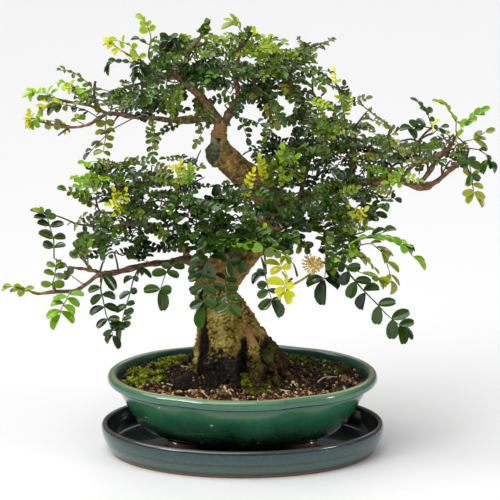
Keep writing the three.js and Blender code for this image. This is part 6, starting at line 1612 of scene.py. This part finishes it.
def leafNodes(blades):
    # the blades turned, stretched and chosen by each point's own values
    tree, start, end = growTree("leavesOnPoints", {"Leaf Scale": "Float"})
    scale = addNode("ShaderNodeVectorMath", {0: namedValue(tree, "stretch", "FLOAT_VECTOR"),
                                             "Scale": start["Leaf Scale"]}, operation="SCALE").outputs[0]
    kind, turn = namedValue(tree, "kind", "INT"), namedValue(tree, "turn", "FLOAT_VECTOR")
    placeShapes(start, end, blades, kind, turn, scale)
    return tree


def tubeNodes():
    # a round tube along every line of edges, as thick as its points' radius
    tree, start, end = growTree("tubesOnLines", {"Sides": "Int", "Thickness": "Float"})
    lines = addNode("GeometryNodeMeshToCurve", {"Mesh": start["Geometry"]})
    radius = times(namedValue(tree, "radius"), start["Thickness"])
    sized = addNode("GeometryNodeSetCurveRadius", {"Curve": lines.outputs[0], "Radius": radius})
    ring = addNode("GeometryNodeCurvePrimitiveCircle", {"Resolution": start["Sides"], "Radius": 1.0}, mode="RADIUS")
    inputs = {"Curve": sized.outputs[0], "Profile Curve": ring.outputs[0], "Fill Caps": True, "Scale": radius}
    tube = addNode("GeometryNodeCurveToMesh", inputs)
    closeTree(start, end, addNode("GeometryNodeSetShadeSmooth", {"Geometry": tube.outputs[0]}).outputs[0])
    return tree


def makeTubes(name, lines, sides, material):
    # lines: spots and radii in mm
    points, edges = [], []
    for line in lines:
        edges += [(len(points) + k, len(points) + k + 1) for k in range(len(line) - 1)]
        points += line
    piece = newMesh(name, [spot * mm for spot, radius in points], smooth=False, edges=edges)
    storeValues(piece, "radius", [radius * mm for spot, radius in points])
    return runNodes(piece, tubesOnLines, name, material, Sides=sides, Thickness=1.0)


def makeBlades(name, spots, turns, stretches, shades, kinds, tree, material):
    piece = newMesh("points", [spot * mm for spot in spots], smooth=False)
    storeValues(piece, "turn", turns, "FLOAT_VECTOR")
    storeValues(piece, "stretch", [[size * mm for size in stretch] for stretch in stretches], "FLOAT_VECTOR")
    storeValues(piece, "shade", shades)
    storeValues(piece, "kind", kinds, "INT")
    return runNodes(piece, tree, name, material, **{"Leaf Scale": 1.0})


def makeFoliage():
    growSprays()
    wood = woodSpots()
    growClumps(wood)
    growFronds(wood)
    growClearFronds(wood)
    blades = [makeLeaflet("bladeFlat", 0.10, 0.05, 0.0), makeLeaflet("bladeCupped", 0.3, 0.10, 0.02),
              makeLeaflet("bladeDrooped", 0.2, -0.08, -0.02)]
    tree = leafNodes(blades)
    for tone, found in leaflets.items():
        turns = []
        for spot, outward, normal, *rest in found:
            across = outward.cross(normal).normalized()
            turns.append(Matrix((across, outward, across.cross(outward))).transposed().to_euler("XYZ")[:])
        spots, outwards, normals, longs, wides, shades, kinds = zip(*found)
        name = tone + "Leaves"
        piece = makeBlades(name, spots, turns, zip(wides, longs, longs), shades, kinds, tree, leafMaterials[tone])
        joinPieces(piece, makeTubes("ribs", ribs[tone], 5, ribMaterials[tone]))
        nodesOfTone = [node for node, spray in sprays.items() if spray[0] == tone]
        finishPiece(piece, name, "leaf_" + tone, *nodesOfTone)
        print(tone, "leaves:", len(found), "leaflets,", len(piece.data.polygons), "faces")
    for blade in blades:
        bpy.data.objects.remove(blade)
    piece = makeTubes("fineTwigs", twigs, 6, twigMaterial("twigBark", "35251a", "6a4f38"))
    finishPiece(piece, "fineTwigs", "bark")
    print("twigs:", len(twigs), "with", len(piece.data.polygons), "faces")


# the flower head: its middle, its reaches, a bud's width and length, and how many buds
flowerHead = {"middle": (55, -44, 166), "reach": (8.4, 7, 8), "bud": (1.8, 3.3), "count": 64}
# other thin things: slot, colours, thickness and routes
thinThings = {
    "straw": ("soil", ("b8a468", "e6dca8"), 0.5, [
        [(-32, -52, 66), (-29, -56, 64), (-26, -60, 62.6)], [(-60, -34, 66), (-55, -38, 66)],
        [(60, -30, 66), (66, -20, 67), (76, -16, 66)], [(-50, 6, 68), (-44, 0, 69.5)],
        [(30, -44, 64), (38, -47, 64)]]),
    "youngStems": ("leaf_young", ("8f8a1c", "c8bf3c"), 1.15, [
        [(79, -22, 172), (66, -31, 166), (52, -38, 156), (40, -43, 150), (33, -47, 149)],
        [(40, -45, 150), (35, -48, 156), (31, -50, 162)], [(37, -45, 149), (34, -48, 144), (33, -50, 141)],
        [(-55, -36, 207), (-51, -38, 226), (-47, -38, 245)]]),
}


def makeThinThings():
    for name, (slot, colours, thick, routes) in thinThings.items():
        lines = [[(routePoint(route, k / 10), thick * between(1, 0.6, k / 10)) for k in range(11)]
                 for route in routes]
        finishPiece(makeTubes(name, lines, 6, twigMaterial(name, *colours)), name, slot)


def makeFlower(settings):
    # buds stand out all round the head, each on a stalk from its middle
    middle, (wide, long) = Vector(settings["middle"]), settings["bud"]
    spots, turns, stretches, stalks = [], [], [], []
    for k in range(settings["count"]):
        height = 1 - 2 * (k + 0.5) / settings["count"]
        level = math.sqrt(1 - height ** 2)
        out = Vector((level * math.cos(2.4 * k), level * math.sin(2.4 * k), height))
        far = out * Vector(settings["reach"]) * between(0.62, 1, draw())
        size = between(0.8, 1.2, draw())
        spots.append(middle + far)
        turns.append(far.to_track_quat("Y", "Z").to_euler("XYZ")[:])
        stretches.append((wide * size, long * size, wide * size))
        stalks.append([(middle, 0.35), (middle + far, 0.3)])
    bud = crumbMesh("bud", 3, 1.0)
    cream = twigMaterial("budCream", "dcb64c", "fff0b4")
    count = [0] * settings["count"]
    piece = makeBlades("flowerBuds", spots, turns, stretches, count, count, leafNodes([bud]), cream)
    joinPieces(piece, makeTubes("stalks", stalks, 5, cream))
    finishPiece(piece, "flowerBuds", "flower", "flower_cluster")
    bpy.data.objects.remove(bud)
    print("flower buds:", len(spots))


tubesOnLines = tubeNodes()
leafSurface = leafSurfaceGroup()
leafMaterials = {tone: leafMaterial(tone + "Leaf", *values[:3], 0.5 if tone == "young" else 0.2)
                 for tone, values in leafTones.items()}
ribMaterials = {tone: twigMaterial(tone + "Rib", *values[:2]) for tone, values in leafTones.items()}
makeFoliage()
makeThinThings()
makeFlower(flowerHead)

# the plastic mesh over the drainage holes keeps its solids
plastic, tree, where = startMaterial("darkPlastic")
endMaterial(plastic, mixColour(noiseNode(where, 500.0, 2, 0.5), "1a1a1a", "2a2a28"), 0.5)
for name in ("drain_mesh_left", "drain_mesh_right"):
    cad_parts[name].data.materials.clear()
    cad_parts[name].data.materials.append(plastic)
